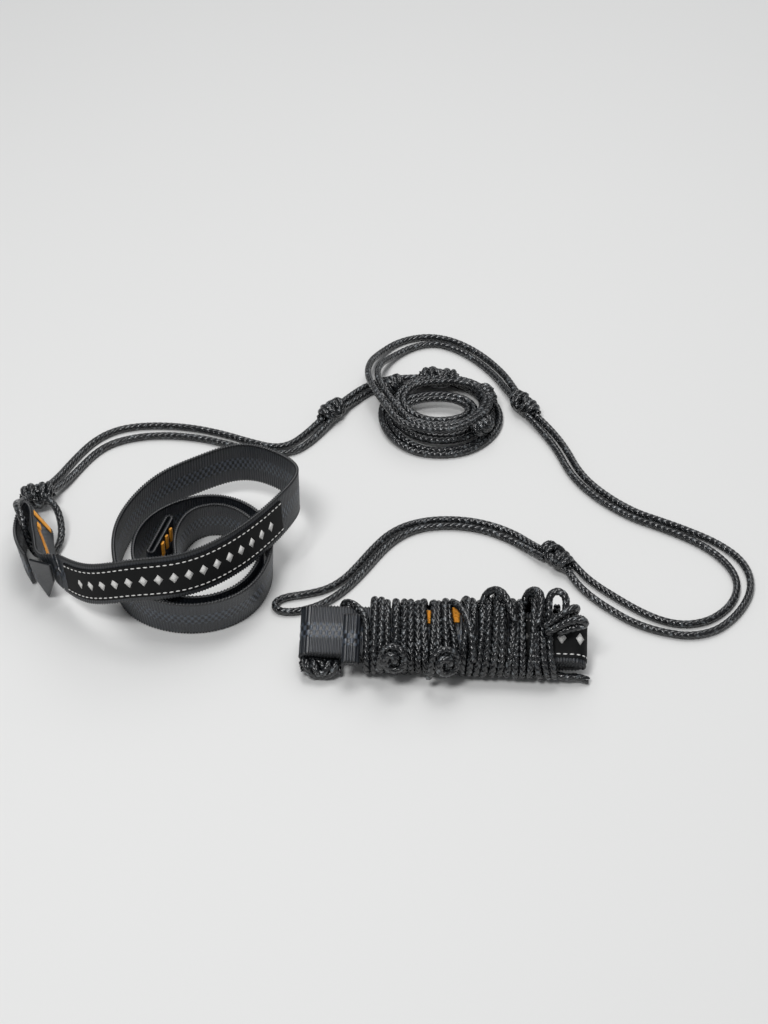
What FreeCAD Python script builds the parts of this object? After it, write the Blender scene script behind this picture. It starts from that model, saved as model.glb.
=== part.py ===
"""A pair of hammock straps: webbing with a sewn label, and a doubled rope tied into loops.

Strap A is laid out: its webbing stands on edge in a loose spiral, and its rope runs away from
the outer eye as a first loop, a coil, a top loop, a side loop and an end loop, with a knot
between each. Strap B is wound into a hank: its webbing is rolled flat and its rope is wrapped
round it. Millimetres, +Z up, the ground at Z = 0, the origin at the middle of the footprint
of the spiral and the hank. Strap B lifts straight off the ground on its own.
"""
import FreeCAD
import Part

import math
import os

Vector = FreeCAD.Vector

# Driving dimensions
WEBBING_WIDTH = 25.0
WEBBING_THICK = 1.6
LABEL_WIDTH = 19.5
LABEL_THICK = 0.6
THREAD_WIDTH = 0.7
THREAD_PROUD = 0.35
BARTACK_PROUD = 0.5
ROPE_DIAMETER = 3.6
SKIN_GAP = 0.05
ARC_SHARE = 0.45
SAMPLE_STEP = 6.0

ROPE_RADIUS = ROPE_DIAMETER / 2
LABEL_LOW = (WEBBING_WIDTH - LABEL_WIDTH) / 2
LABEL_HIGH = LABEL_LOW + LABEL_WIDTH
LABEL_FACE = WEBBING_THICK / 2 + SKIN_GAP
THREAD_INSET = 1.7

# The spiral of strap A, outer end first: x, y and z of the lower selvage, and the lean of the
# upper selvage towards the middle in degrees.
SPIRAL = [
    (-113, -10, 8, 3), (-98, -27, 15, 3), (-76, -35.5, 24, 4), (-52, -34, 26, 6),
    (-31, -22, 26.5, 7), (-14, -2, 26.5, 5), (-2, 21, 25, 2), (0.5, 42, 20.5, 0),
    (-10, 59, 17, 2), (-30, 70.8, 13, 3), (-52, 67, 8, 3), (-71, 58, 4, 3), (-84, 42, 1, 2),
    (-90, 20, 0.2, 0), (-89, -2, 0.2, 0), (-80, -20, 0.2, -6), (-64, -30, 0.2, -12),
    (-45, -32, 0.2, -14), (-27, -24.5, 0.2, -12), (-15.5, -8, 0.2, -6), (-12.5, 12, 0.2, -2),
    (-18, 32, 0.2, 4), (-32, 45, 0.2, 8), (-48, 47.5, 0.2, 9), (-64, 40, 0.2, 6),
    (-76, 25, 0.2, 2), (-80, 8, 0.2, 0), (-76, -9, 0.2, -4), (-65, -22.5, 0.2, -10),
    (-48, -27.5, 0.2, -13), (-31, -22, 0.2, -11), (-19.5, -7, 0.2, -5), (-17, 12, 0.2, -1),
    (-22.5, 29, 0.2, 5), (-34, 40, 0.2, 10), (-47, 41, 0.2, 11), (-56, 32.5, 0.2, 6),
    (-59.5, 18, 0.2, 1), (-59, 2, 0.2, 0), (-60.5, -10.5, 0.2, 0), (-65.5, -12.5, 0.2, 0),
    (-69.5, -6, 0.2, 0),
]
LABEL_A_SPAN = (6.0, 139.0)

# The outer eye of strap A: pairs of points on the lower and the upper selvage. The webbing
# turns back from the spiral's outer end, and comes round to the left as a closed eye.
OUTER_EYE = [
    ((-114.5, -8.2, 8), (-117.6, -11.4, 33)), ((-119, -1, 7.5), (-125, -8, 31.5)),
    ((-121.5, 12, 7.5), (-129.5, 4, 31)), ((-124.5, 27, 8), (-132.5, 19, 30.5)),
    ((-127.5, 36.5, 8), (-134.5, 29.5, 30)), ((-132, 39, 6), (-137.3, 33, 29)),
    ((-136.5, 35.5, 3.5), (-139.7, 30, 27)), ((-139.3, 26, 1), (-141, 20, 25)),
    ((-136.5, 13, 0.8), (-138, 7, 24.5)), ((-131.5, 3, 0.8), (-133, -2.5, 24.5)),
]
EYE_BARTACKS = [(13.0, 2.2), (34.0, 3.2)]
FLAP = [(-131.5, -4.5, 23), (-119, -16, 29.5), (-118.6, -14.5, 17), (-123.2, -7.3, 0.8),
        (-128.6, -4.5, 9)]
FLAP_THICK = 1.5

# The inner eye, a flat ring of webbing at the spiral's inner end: its two ends in plan.
INNER_EYE_ENDS = [(-70.8, 1.0), (-63.9, 26.0)]
INNER_EYE_RADIUS = 1.5
INNER_TACK_SHARES = (0.3, 0.52, 0.74)
INNER_TACK_WIDTH = 2.6
INNER_TACK_FOOT = 3.0
INNER_TACK_HEIGHT = 19.0
TACK_MARGIN = 2.5

# Rope routes of strap A: corner points joined by tangent arcs.
FIRST_LOOP_BACK = [
    (-136.5, 66, 8), (-130.5, 81, 3.5), (-123, 101, 1.8), (-114, 118, 1.8), (-103, 128, 1.8),
    (-89, 132, 1.8), (-72, 132, 1.8), (-56, 129, 1.8), (-42, 124, 1.8), (-27, 117, 1.8),
    (-15, 112.5, 1.8), (-6, 115, 1.8), (1, 123, 1.8), (8, 132, 3), (14, 139, 5),
]
FIRST_LOOP_FRONT = [
    (-134.5, 64, 8), (-126, 77, 3.5), (-118.5, 95, 1.8), (-111, 109, 1.8), (-102, 117.5, 1.8),
    (-88, 122.5, 1.8), (-72, 123.5, 1.8), (-56, 121, 1.8), (-43, 116.5, 1.8),
    (-29, 110.5, 1.8), (-16, 106.5, 1.8), (-3, 109, 1.8), (5.5, 118.5, 1.8),
    (12.5, 129, 3), (18, 137.5, 5),
]
LEAD_BACK = [(17, 143, 5), (25, 157, 2.6), (35.5, 169.5, 1.8), (49, 176.5, 1.8), (60, 178.5, 1.8)]
LEAD_FRONT = [(19, 141, 5), (28, 153, 2.6), (36.5, 163, 1.8), (45.5, 168.5, 1.8)]
TOP_LOOP_OUTER = [
    (55, 116, 14.2), (46, 134, 14.2), (38.5, 153, 13.5), (35.5, 168, 11), (37, 182, 9),
    (42.5, 198, 3.4), (53.5, 212, 1.8), (69.5, 217.5, 1.8), (85, 213.5, 1.8),
    (100.5, 200, 1.8), (113, 181, 1.8), (118.5, 164.5, 3), (122, 151, 5),
]
TOP_LOOP_INNER = [
    (62.5, 114.5, 14.2), (51.5, 134.5, 14.2), (43.5, 153, 13.5), (40.8, 167.5, 11),
    (42.8, 180, 9), (49, 194, 3.4), (60.5, 206, 1.8), (73, 210.5, 1.8), (84, 206.5, 1.8),
    (97, 195, 1.8), (108.5, 178, 1.8), (114.2, 162.5, 3), (119.5, 150, 5),
]
SIDE_LOOP_OUTER = [
    (124, 145, 5), (133.5, 134, 2.6), (143.5, 114, 1.8), (150, 90, 1.8), (161, 73, 1.8),
    (176, 58, 1.8), (191, 50, 1.8), (206, 41, 1.8), (218, 32, 1.8), (227, 21, 1.8),
    (230.5, 9, 1.8), (229.5, -3, 1.8), (224.5, -14.5, 1.8), (217, -25, 1.8),
    (207.5, -33.5, 1.8), (195, -37, 1.8), (181.5, -34, 1.8), (168, -27.5, 1.8),
    (154, -14.5, 1.8), (144, -2, 1.8), (139, 7.5, 3), (134.5, 16, 5),
]
SIDE_LOOP_INNER = [
    (121, 143.5, 5), (129, 132, 2.6), (138.7, 112, 1.8), (145.2, 88, 1.8), (157, 69.5, 1.8),
    (173, 54, 1.8), (188.5, 45.5, 1.8), (203.5, 36, 1.8), (214.5, 25.5, 1.8),
    (221.5, 13.5, 1.8), (223.5, 2, 1.8), (220.5, -9.5, 1.8), (213.5, -19.5, 1.8),
    (203.5, -27, 1.8), (190, -29, 1.8), (176, -22.5, 1.8), (161.5, -9.5, 1.8),
    (149, 3.5, 1.8), (142.7, 12.5, 3), (137.5, 20, 5),
]
END_LOOP = [
    (129, 21, 5), (121, 31, 2.6), (113.5, 39.5, 1.8), (102.5, 46.5, 1.8), (89.5, 51, 1.8),
    (74, 52, 1.8), (60, 49, 1.8), (48.5, 41.5, 1.8), (40, 30, 1.8), (32.5, 17, 1.8),
    (25, 5, 1.8), (16, -3, 1.8), (5, -6.5, 1.8), (-5, -8.5, 1.8), (-10, -13, 1.8),
    (-8, -18.7, 1.8), (0, -19.5, 1.8), (9.5, -16.5, 1.8), (19, -10, 1.8), (28, 0.5, 1.8),
    (36.2, 13.5, 1.8), (43.5, 26.5, 1.8), (51.5, 37, 1.8), (61.5, 44.2, 1.8),
    (74.5, 47, 1.8), (88.5, 46, 1.8), (100.5, 41.8, 1.8), (110.2, 35.5, 1.8),
    (118, 28, 2.6), (126.5, 18.5, 5),
]
EYE_BIGHT = [
    (-138.5, 62, 10), (-142, 50, 15.5), (-142.5, 38, 24.5), (-140.5, 28, 31),
    (-137, 20, 30), (-134.8, 16, 22), (-133, 15.5, 12.5), (-129.5, 18, 5.2),
    (-123.5, 24.5, 2.8), (-121, 33, 4.4), (-121.8, 42, 8), (-125.5, 51.5, 12),
    (-132, 58.5, 12),
]

# Knots: middle, direction, overall length and radius of the pulled-tight body.
HITCH_KNOT = ((-136.5, 64, 9.0), (1, 0.25, 0.1), 19.0, 7.2)
KNOT_1 = ((16, 141, 5.6), (0.6, 0.8, 0), 18.0, 5.5)
KNOT_2 = ((123.3, 147, 5.4), (0.55, -0.83, 0), 23.0, 5.3)
KNOT_3 = ((133, 18.5, 5.4), (-0.6, 0.8, 0), 23.0, 5.3)
COIL_KNOTS = [
    ((76, 166, 10.5), (1, -0.1, 0), 24.0, 5.4),
    ((49, 160, 9.5), (0.7, 0.7, 0), 13.0, 4.6),
    ((102, 148, 10), (0.2, -1, 0), 17.0, 5.0),
    ((98, 122, 9.5), (-0.75, -0.66, 0), 14.0, 4.6),
]

# The rope coil of strap A: middle, mean radius and the half width and height of its section.
COIL_MIDDLE = (75, 140)
COIL_RADIUS = 27.0
COIL_HALF_WIDTH = 9.0
COIL_HEIGHT = 12.0

# Strap B, in the hank's own axes: u along it, v across the webbing, w out of its face.
HANK_MIDDLE = (74.3, -51.2, 14.2)
HANK_TILT = 28.0
HANK_YAW = -2.9
ROLL_LEFT = -64.0
ROLL_RIGHT = 61.0
ROLL_PITCH = 1.85
ROLL_OUTER = 5.0
ROLL_LAYERS = 6
ROLL_INNER_END = 57.0
ROLL_CUT_ANGLE = -20.0
WRAP_LEFT = -40.2
WRAP_RIGHT = 56.0
WRAP_HALF_WIDTH = 20.3
WRAP_HALF_DEPTH = 11.6
LABEL_B_LEFT = 34.0
LABEL_B_LAST_ANGLE = -12.0
LIFT_GAP = 0.1
HANK_TACKS = [(-30, 3, 2.2, 12), (-8, 4, 2.2, 14), (4.2, 5, 4.2, 14)]
END_FOLD_MIDDLE = (-44.6, -5.2)
END_FOLD_SIZE = (8.0, WEBBING_WIDTH, 4.6)
END_FOLD_LIFT = 2.4
END_FOLD_ROUND = 2.0
START_HITCH = ((-59, -15.8, -1.2), (1, 0, -0.1), 21.0, 5.2)
FRONT_KNOTS = [((-24, -12.5, 10.0), (0.1, 1, 0.8), 20.0, 5.2),
               ((0.5, -13.2, 9.8), (-0.1, 1, 0.85), 21.0, 5.2)]
FRONT_BIGHT = [(5.5, 14, 10.5), (10, 7, 14), (12.5, -1, 15), (13.5, -8, 13)]
TOP_BIGHTS = [
    [(17.5, 15.5, 7.5), (18.5, 19.5, 10), (21.5, 23, 12), (25, 22.5, 14.5),
     (28, 18.5, 15.5), (30.5, 12.5, 14.5), (33, 5, 13.6)],
    [(37, 15, 7.5), (38, 20, 9.6), (40.5, 24, 12), (44, 22, 15),
     (45.5, 16.5, 15.9), (45.3, 10.5, 14.9), (44, 3, 13.7)],
]
END_BIGHTS = [
    [(49.3, 5.5, 12.4), (49, 12, 14.4), (49, 17.8, 15.8), (52.9, 20.5, 16.4),
     (57.1, 17.8, 15.8), (57.2, 12, 14.4), (57, 5.5, 12.4)],
    [(47.5, 3, 13.6), (54, 7, 17), (59.5, 10.5, 19.2), (62.6, 12.2, 15.8),
     (61.7, 11.4, 10.9), (56.8, 8.1, 8.7), (52, 5.5, 8.2)],
    [(48.5, 0, 13), (55, 3, 17), (61.5, 5.2, 19.4), (66.5, 4, 17.2), (66.3, 0.6, 12.9),
     (61, -2, 11.4), (54, -4, 11.8)],
]
ROPE_TAIL = [(52, -15.2, -1.4), (58, -17, -2.4), (64, -15.8, -3.4), (69, -17.2, -4.8)]


def vector(point):
    """A FreeCAD vector from three numbers."""
    return Vector(*[float(value) for value in point])


def write(name, solids):
    """Write one node as a STEP file."""
    solids = solids if isinstance(solids, list) else [solids]
    shape = solids[0] if len(solids) == 1 else Part.makeCompound(solids)
    if not shape.isValid():
        raise ValueError(name + " isn't valid")
    shape.exportStep(os.path.join("parts", name + ".step"))
    box = shape.BoundBox
    print("%-28s %3d solids %9.1f mm3  z %6.2f to %6.2f" % (
        name, len(shape.Solids), shape.Volume, box.ZMin, box.ZMax))


def largest(shape):
    """The largest solid of a cut shape."""
    return max(shape.Solids, key=lambda solid: solid.Volume)


def ruled_face(one, two):
    """The face of straight lines between two curves with the same knots."""
    surface = Part.BSplineSurface()
    surface.buildFromPolesMultsKnots(
        [one.getPoles(), two.getPoles()], [2, 2], one.getMultiplicities(), [0.0, 1.0],
        one.getKnots(), False, False, 1, one.Degree)
    return surface.toShape()


class Band:
    """A strip of webbing in space, from pairs of points on its two selvages."""

    def __init__(self, pairs):
        lows = [vector(low) for low, _ in pairs]
        highs = [vector(high) for _, high in pairs]
        params = [0.0]
        for one, two in zip(lows, lows[1:]):
            params.append(params[-1] + one.distanceToPoint(two))
        self.length = params[-1]
        self.low = Part.BSplineCurve()
        self.low.interpolate(Points=lows, Parameters=params)
        self.high = Part.BSplineCurve()
        self.high.interpolate(Points=highs, Parameters=params)

    def point(self, along, height, depth):
        """The point at a place along, up from the lower selvage, and in from the middle."""
        low = self.low.value(along)
        rise = (self.high.value(along) - low).normalize()
        heading = self.low.tangent(along)[0]
        inward = rise.cross(heading).normalize()
        return low + rise * height + inward * depth

    def solid(self, start, end, low, high, near, far):
        """The solid between two places along, two heights and two depths."""
        count = max(2, int(math.ceil((end - start) / SAMPLE_STEP)) + 1)
        places = [start + (end - start) * i / (count - 1) for i in range(count)]
        corners = [(low, near), (high, near), (high, far), (low, far)]
        curves = []
        for height, depth in corners:
            curve = Part.BSplineCurve()
            curve.interpolate(Points=[self.point(place, height, depth) for place in places],
                              Parameters=places)
            curves.append(curve)
        faces = [ruled_face(curves[i], curves[(i + 1) % 4]) for i in range(4)]
        for place in (start, end):
            points = [self.point(place, height, depth) for height, depth in corners]
            faces.append(Part.Face(Part.makePolygon(points + [points[0]])))
        shell = Part.makeShell(faces)
        shell.sewShape()
        solid = Part.makeSolid(shell)
        if solid.Volume < 0:
            solid.reverse()
        return solid


def spiral_pairs():
    """Selvage points of the spiral: the lean turns the rise towards the spiral's inside."""
    pairs = []
    for i, (x, y, z, lean) in enumerate(SPIRAL):
        before = SPIRAL[max(i - 1, 0)]
        after = SPIRAL[min(i + 1, len(SPIRAL) - 1)]
        heading = Vector(after[0] - before[0], after[1] - before[1], 0).normalize()
        inward = Vector(-heading.y, heading.x, 0)
        angle = math.radians(lean)
        rise = Vector(0, 0, math.cos(angle)) + inward * math.sin(angle)
        low = Vector(x, y, z)
        high = low + rise * WEBBING_WIDTH
        pairs.append((tuple(low), tuple(high)))
    return pairs


def stitch_rows(band, start, end, outside):
    """The two thread lines of a label, proud of its face."""
    face = LABEL_FACE + LABEL_THICK + SKIN_GAP
    rows = []
    for height in (LABEL_LOW + THREAD_INSET, LABEL_HIGH - THREAD_INSET):
        depths = sorted([outside * face, outside * (face + THREAD_PROUD)])
        rows.append(band.solid(start, end, height - THREAD_WIDTH / 2,
                               height + THREAD_WIDTH / 2, depths[0], depths[1]))
    return rows


def bartack_blocks(band, places, outside):
    """Sewn bars across the webbing, proud of its face."""
    face = WEBBING_THICK / 2 + SKIN_GAP
    blocks = []
    for place, width in places:
        depths = sorted([outside * face, outside * (face + BARTACK_PROUD)])
        blocks.append(band.solid(place - width / 2, place + width / 2, TACK_MARGIN,
                                 WEBBING_WIDTH - TACK_MARGIN, depths[0], depths[1]))
    return blocks


def flap():
    """The pointed cut end of the webbing, hanging down to the ground."""
    corners = [vector(point) for point in FLAP]
    normal = (corners[1] - corners[0]).cross(corners[3] - corners[0]).normalize()
    flat = [corner - normal * normal.dot(corner - corners[0]) for corner in corners]
    face = Part.Face(Part.makePolygon(flat + [flat[0]]))
    return face.extrude(normal * FLAP_THICK)


def stadium(ends, radius):
    """The face of a flat ring's outline in plan, round at both ends."""
    one, two = [Vector(x, y, 0) for x, y in ends]
    heading = (two - one).normalize()
    side = Vector(-heading.y, heading.x, 0) * radius
    edges = [
        Part.makeLine(one + side, two + side),
        Part.Arc(two + side, two + heading * radius, two - side).toShape(),
        Part.makeLine(two - side, one - side),
        Part.Arc(one - side, one - heading * radius, one + side).toShape(),
    ]
    return Part.Face(Part.Wire(edges))


def inner_eye():
    """The webbing's inner end folded back into a flat standing ring."""
    outer = stadium(INNER_EYE_ENDS, INNER_EYE_RADIUS + WEBBING_THICK / 2)
    inner = stadium(INNER_EYE_ENDS, INNER_EYE_RADIUS - WEBBING_THICK / 2)
    return outer.cut(inner).extrude(Vector(0, 0, WEBBING_WIDTH))


def inner_bartacks():
    """Three bars on the inner eye's right-hand side."""
    one, two = [Vector(x, y, 0) for x, y in INNER_EYE_ENDS]
    heading = (two - one).normalize()
    right = Vector(heading.y, -heading.x, 0)
    start = one + right * (INNER_EYE_RADIUS + WEBBING_THICK / 2 + SKIN_GAP)
    blocks = []
    across = heading * INNER_TACK_WIDTH
    rise = Vector(0, 0, INNER_TACK_HEIGHT)
    for share in INNER_TACK_SHARES:
        low = start + (two - one) * share + Vector(0, 0, INNER_TACK_FOOT)
        profile = Part.makePolygon([low, low + across, low + across + rise, low + rise, low])
        blocks.append(Part.Face(profile).extrude(right * BARTACK_PROUD))
    return blocks


def rope_path(name, points):
    """Straight runs joined by tangent arcs, each as large as its two runs allow."""
    corners = [vector(point) for point in points]
    edges = []
    radii = []
    last = corners[0]
    for before, corner, after in zip(corners, corners[1:], corners[2:]):
        back = (before - corner)
        ahead = (after - corner)
        reach = ARC_SHARE * min(back.Length, ahead.Length)
        half_turn = (math.pi - back.getAngle(ahead)) / 2
        radius = reach / math.tan(half_turn)
        radii.append(radius)
        start = corner + back.normalize() * reach
        end = corner + ahead.normalize() * reach
        to_middle = (back + ahead).normalize()
        centre = corner + to_middle * math.hypot(radius, reach)
        middle = centre - to_middle * radius
        edges.append(Part.makeLine(last, start))
        edges.append(Part.Arc(start, middle, end).toShape())
        last = end
    edges.append(Part.makeLine(last, corners[-1]))
    print("%-28s smallest radius %5.1f mm" % (name, min(radii)))
    return Part.Wire(edges)


def rope(name, points):
    """A rope's tube along its route, with its volume checked."""
    path = rope_path(name, points)
    start = vector(points[0])
    heading = (vector(points[1]) - start).normalize()
    ring = Part.Wire(Part.makeCircle(ROPE_RADIUS, start, heading))
    solid = path.makePipeShell([ring], True, False)
    expected = math.pi * ROPE_RADIUS ** 2 * path.Length
    print("%-28s length %7.1f mm, volume %.4f of section times length" % (
        name, path.Length, solid.Volume / expected))
    return solid


def capsule(middle, heading, length, radius):
    """A knot's plain body: a round bar with domed ends."""
    heading = vector(heading).normalize()
    start = vector(middle) - heading * (length / 2 - radius)
    bar = Part.makeCylinder(radius, length - 2 * radius, start, heading)
    ends = [Part.makeSphere(radius, start),
            Part.makeSphere(radius, start + heading * (length - 2 * radius))]
    return bar.fuse(ends).removeSplitter().Solids[0]


def coil():
    """The rope coil's outer shape: a ring with an elliptical section, flat on the ground."""
    section = Part.Ellipse(Vector(COIL_RADIUS, 0, COIL_HEIGHT / 2), COIL_HALF_WIDTH,
                           COIL_HEIGHT / 2)
    edge = section.toShape()
    edge.rotate(Vector(COIL_RADIUS, 0, COIL_HEIGHT / 2), Vector(1, 0, 0), 90)
    ring = Part.Face(Part.Wire(edge)).revolve(Vector(0, 0, 0), Vector(0, 0, 1), 360)
    ring.translate(Vector(COIL_MIDDLE[0], COIL_MIDDLE[1], 0))
    return ring.Solids[0]


def place_hank(shape):
    """Carry a shape from the hank's own axes to its place on the ground."""
    tilt = FreeCAD.Rotation(Vector(1, 0, 0), HANK_TILT)
    yaw = FreeCAD.Rotation(Vector(0, 0, 1), HANK_YAW)
    placed = shape.copy()
    place = FreeCAD.Placement(vector(HANK_MIDDLE), yaw.multiply(tilt))
    placed.Placement = place.multiply(placed.Placement)
    return placed


def hank_point(u, v, w):
    """A point given in the hank's own axes, in the model's frame."""
    tilt = FreeCAD.Rotation(Vector(1, 0, 0), HANK_TILT)
    yaw = FreeCAD.Rotation(Vector(0, 0, 1), HANK_YAW)
    return tuple(vector(HANK_MIDDLE) + yaw.multiply(tilt).multVec(Vector(u, v, w)))


def roll_outline(offset):
    """The roll's centre line in u and w, moved to one side by an offset."""
    edges = []
    half = ROLL_PITCH / 2
    lead_radius = ROLL_OUTER + half + offset
    lead = Vector(ROLL_RIGHT, 0, -half)

    def lead_point(angle):
        turn = math.radians(angle)
        return lead + Vector(math.cos(turn), 0, math.sin(turn)) * lead_radius

    edges.append(Part.Arc(lead_point(ROLL_CUT_ANGLE), lead_point((ROLL_CUT_ANGLE + 90) / 2),
                          lead_point(90)).toShape())
    levels = [ROLL_OUTER - ROLL_PITCH * (i // 2) for i in range(ROLL_LAYERS)]
    side = 1
    for i, level in enumerate(levels):
        height = side * (level + offset)
        start_u, end_u = (ROLL_RIGHT, ROLL_LEFT) if side > 0 else (ROLL_LEFT, ROLL_RIGHT)
        last = i == len(levels) - 1
        if last:
            end_u = ROLL_INNER_END
        edges.append(Part.makeLine(Vector(start_u, 0, height), Vector(end_u, 0, height)))
        if not last:
            following = -side * (levels[i + 1] + offset)
            middle = (height + following) / 2
            radius = abs(height - following) / 2
            outward = -1 if side > 0 else 1
            edges.append(Part.Arc(Vector(end_u, 0, height),
                                  Vector(end_u + outward * radius, 0, middle),
                                  Vector(end_u, 0, following)).toShape())
        side = -side
    return edges


def webbing_roll():
    """Strap B's webbing, rolled flat in six layers."""
    outer = roll_outline(WEBBING_THICK / 2)
    inner = roll_outline(-WEBBING_THICK / 2)
    ends = [Part.makeLine(outer[0].Vertexes[0].Point, inner[0].Vertexes[0].Point),
            Part.makeLine(outer[-1].Vertexes[-1].Point, inner[-1].Vertexes[-1].Point)]
    wire = Part.Wire(Part.__sortEdges__(outer + inner + ends))
    face = Part.Face(wire)
    return face.extrude(Vector(0, WEBBING_WIDTH, 0)).translated(
        Vector(0, -WEBBING_WIDTH / 2, 0))


def end_cover(inner_gap, thick, low_v, high_v, left, last_angle):
    """A skin over the roll's outermost layer: flat on top and bent down at the right end."""
    half = ROLL_PITCH / 2
    centre = Vector(ROLL_RIGHT, 0, -half)
    near = ROLL_OUTER + half + WEBBING_THICK / 2 + inner_gap
    far = near + thick

    def at(radius, angle):
        turn = math.radians(angle)
        return centre + Vector(math.cos(turn), 0, math.sin(turn)) * radius

    middle_angle = (90 + last_angle) / 2
    edges = [
        Part.makeLine(Vector(left, 0, near - half), at(near, 90)),
        Part.Arc(at(near, 90), at(near, middle_angle), at(near, last_angle)).toShape(),
        Part.makeLine(at(near, last_angle), at(far, last_angle)),
        Part.Arc(at(far, last_angle), at(far, middle_angle), at(far, 90)).toShape(),
        Part.makeLine(at(far, 90), Vector(left, 0, far - half)),
        Part.makeLine(Vector(left, 0, far - half), Vector(left, 0, near - half)),
    ]
    face = Part.Face(Part.Wire(edges))
    return face.extrude(Vector(0, high_v - low_v, 0)).translated(Vector(0, low_v, 0))


def block(u, v, w, size_u, size_v, size_w):
    """A block in the hank's own axes, from its middle and its size."""
    return Part.makeBox(size_u, size_v, size_w,
                        Vector(u - size_u / 2, v - size_v / 2, w - size_w / 2))


def rope_wrap(inside):
    """The wound rope's outer shape, open where the rolled webbing runs through."""
    ellipse = Part.Ellipse(Vector(0, 0, 0), WRAP_HALF_WIDTH, WRAP_HALF_DEPTH).toShape()
    face = Part.Face(Part.Wire(ellipse))
    face.rotate(Vector(0, 0, 0), Vector(1, 0, 0), 90)
    face.rotate(Vector(0, 0, 0), Vector(0, 0, 1), 90)
    solid = face.extrude(Vector(WRAP_RIGHT - WRAP_LEFT, 0, 0))
    solid.translate(Vector(WRAP_LEFT, 0, 0))
    core = block((ROLL_LEFT + ROLL_RIGHT) / 2, 0, 0, 2 * (ROLL_RIGHT - ROLL_LEFT),
                 WEBBING_WIDTH + 2 * LIFT_GAP,
                 2 * (ROLL_OUTER + WEBBING_THICK / 2 + LIFT_GAP))
    solid = solid.cut(core)
    for piece in inside:
        solid = solid.cut(piece)
    return largest(solid)


def strap_a():
    """Every node of the laid-out strap."""
    band = Band(spiral_pairs())
    webbing = band.solid(0, band.length, 0, WEBBING_WIDTH, -WEBBING_THICK / 2,
                         WEBBING_THICK / 2)
    write("webbing_a_spiral", webbing)
    start, end = LABEL_A_SPAN
    write("label_a", band.solid(start, end, LABEL_LOW, LABEL_HIGH,
                                -LABEL_FACE - LABEL_THICK, -LABEL_FACE))
    write("label_a_stitching", stitch_rows(band, start + 1, end - 1, -1))
    eye = Band(OUTER_EYE)
    write("webbing_a_outer_eye", eye.solid(0, eye.length, 0, WEBBING_WIDTH,
                                           -WEBBING_THICK / 2, WEBBING_THICK / 2))
    write("bartacks_a_outer_eye", bartack_blocks(eye, EYE_BARTACKS, -1))
    write("webbing_a_end_flap", flap())
    write("webbing_a_inner_eye", inner_eye())
    write("bartacks_a_inner_eye", inner_bartacks())

    ring = coil()
    write("rope_a_coil", ring)
    knots = [capsule(*knot) for knot in (HITCH_KNOT, KNOT_1, KNOT_2, KNOT_3)]
    names = ["rope_a_hitch_knot", "rope_a_knot_1", "rope_a_knot_2", "rope_a_knot_3"]
    for name, knot in zip(names, knots):
        write(name, knot)
    routes = {
        "rope_a_eye_bight": EYE_BIGHT,
        "rope_a_first_loop_back": FIRST_LOOP_BACK,
        "rope_a_first_loop_front": FIRST_LOOP_FRONT,
        "rope_a_lead_back": LEAD_BACK,
        "rope_a_lead_front": LEAD_FRONT,
        "rope_a_top_loop_outer": TOP_LOOP_OUTER,
        "rope_a_top_loop_inner": TOP_LOOP_INNER,
        "rope_a_side_loop_outer": SIDE_LOOP_OUTER,
        "rope_a_side_loop_inner": SIDE_LOOP_INNER,
        "rope_a_end_loop": END_LOOP,
    }
    tubes = []
    for name, points in routes.items():
        tube = rope(name, points)
        for knot in knots:
            tube = largest(tube.cut(knot))
        tubes.append(tube)
        write(name, tube)
    for i, knot in enumerate(COIL_KNOTS):
        body = largest(capsule(*knot).cut(ring))
        for tube in tubes:
            body = largest(body.cut(tube))
        write("rope_a_coil_knot_%d" % (i + 1), body)


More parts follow.
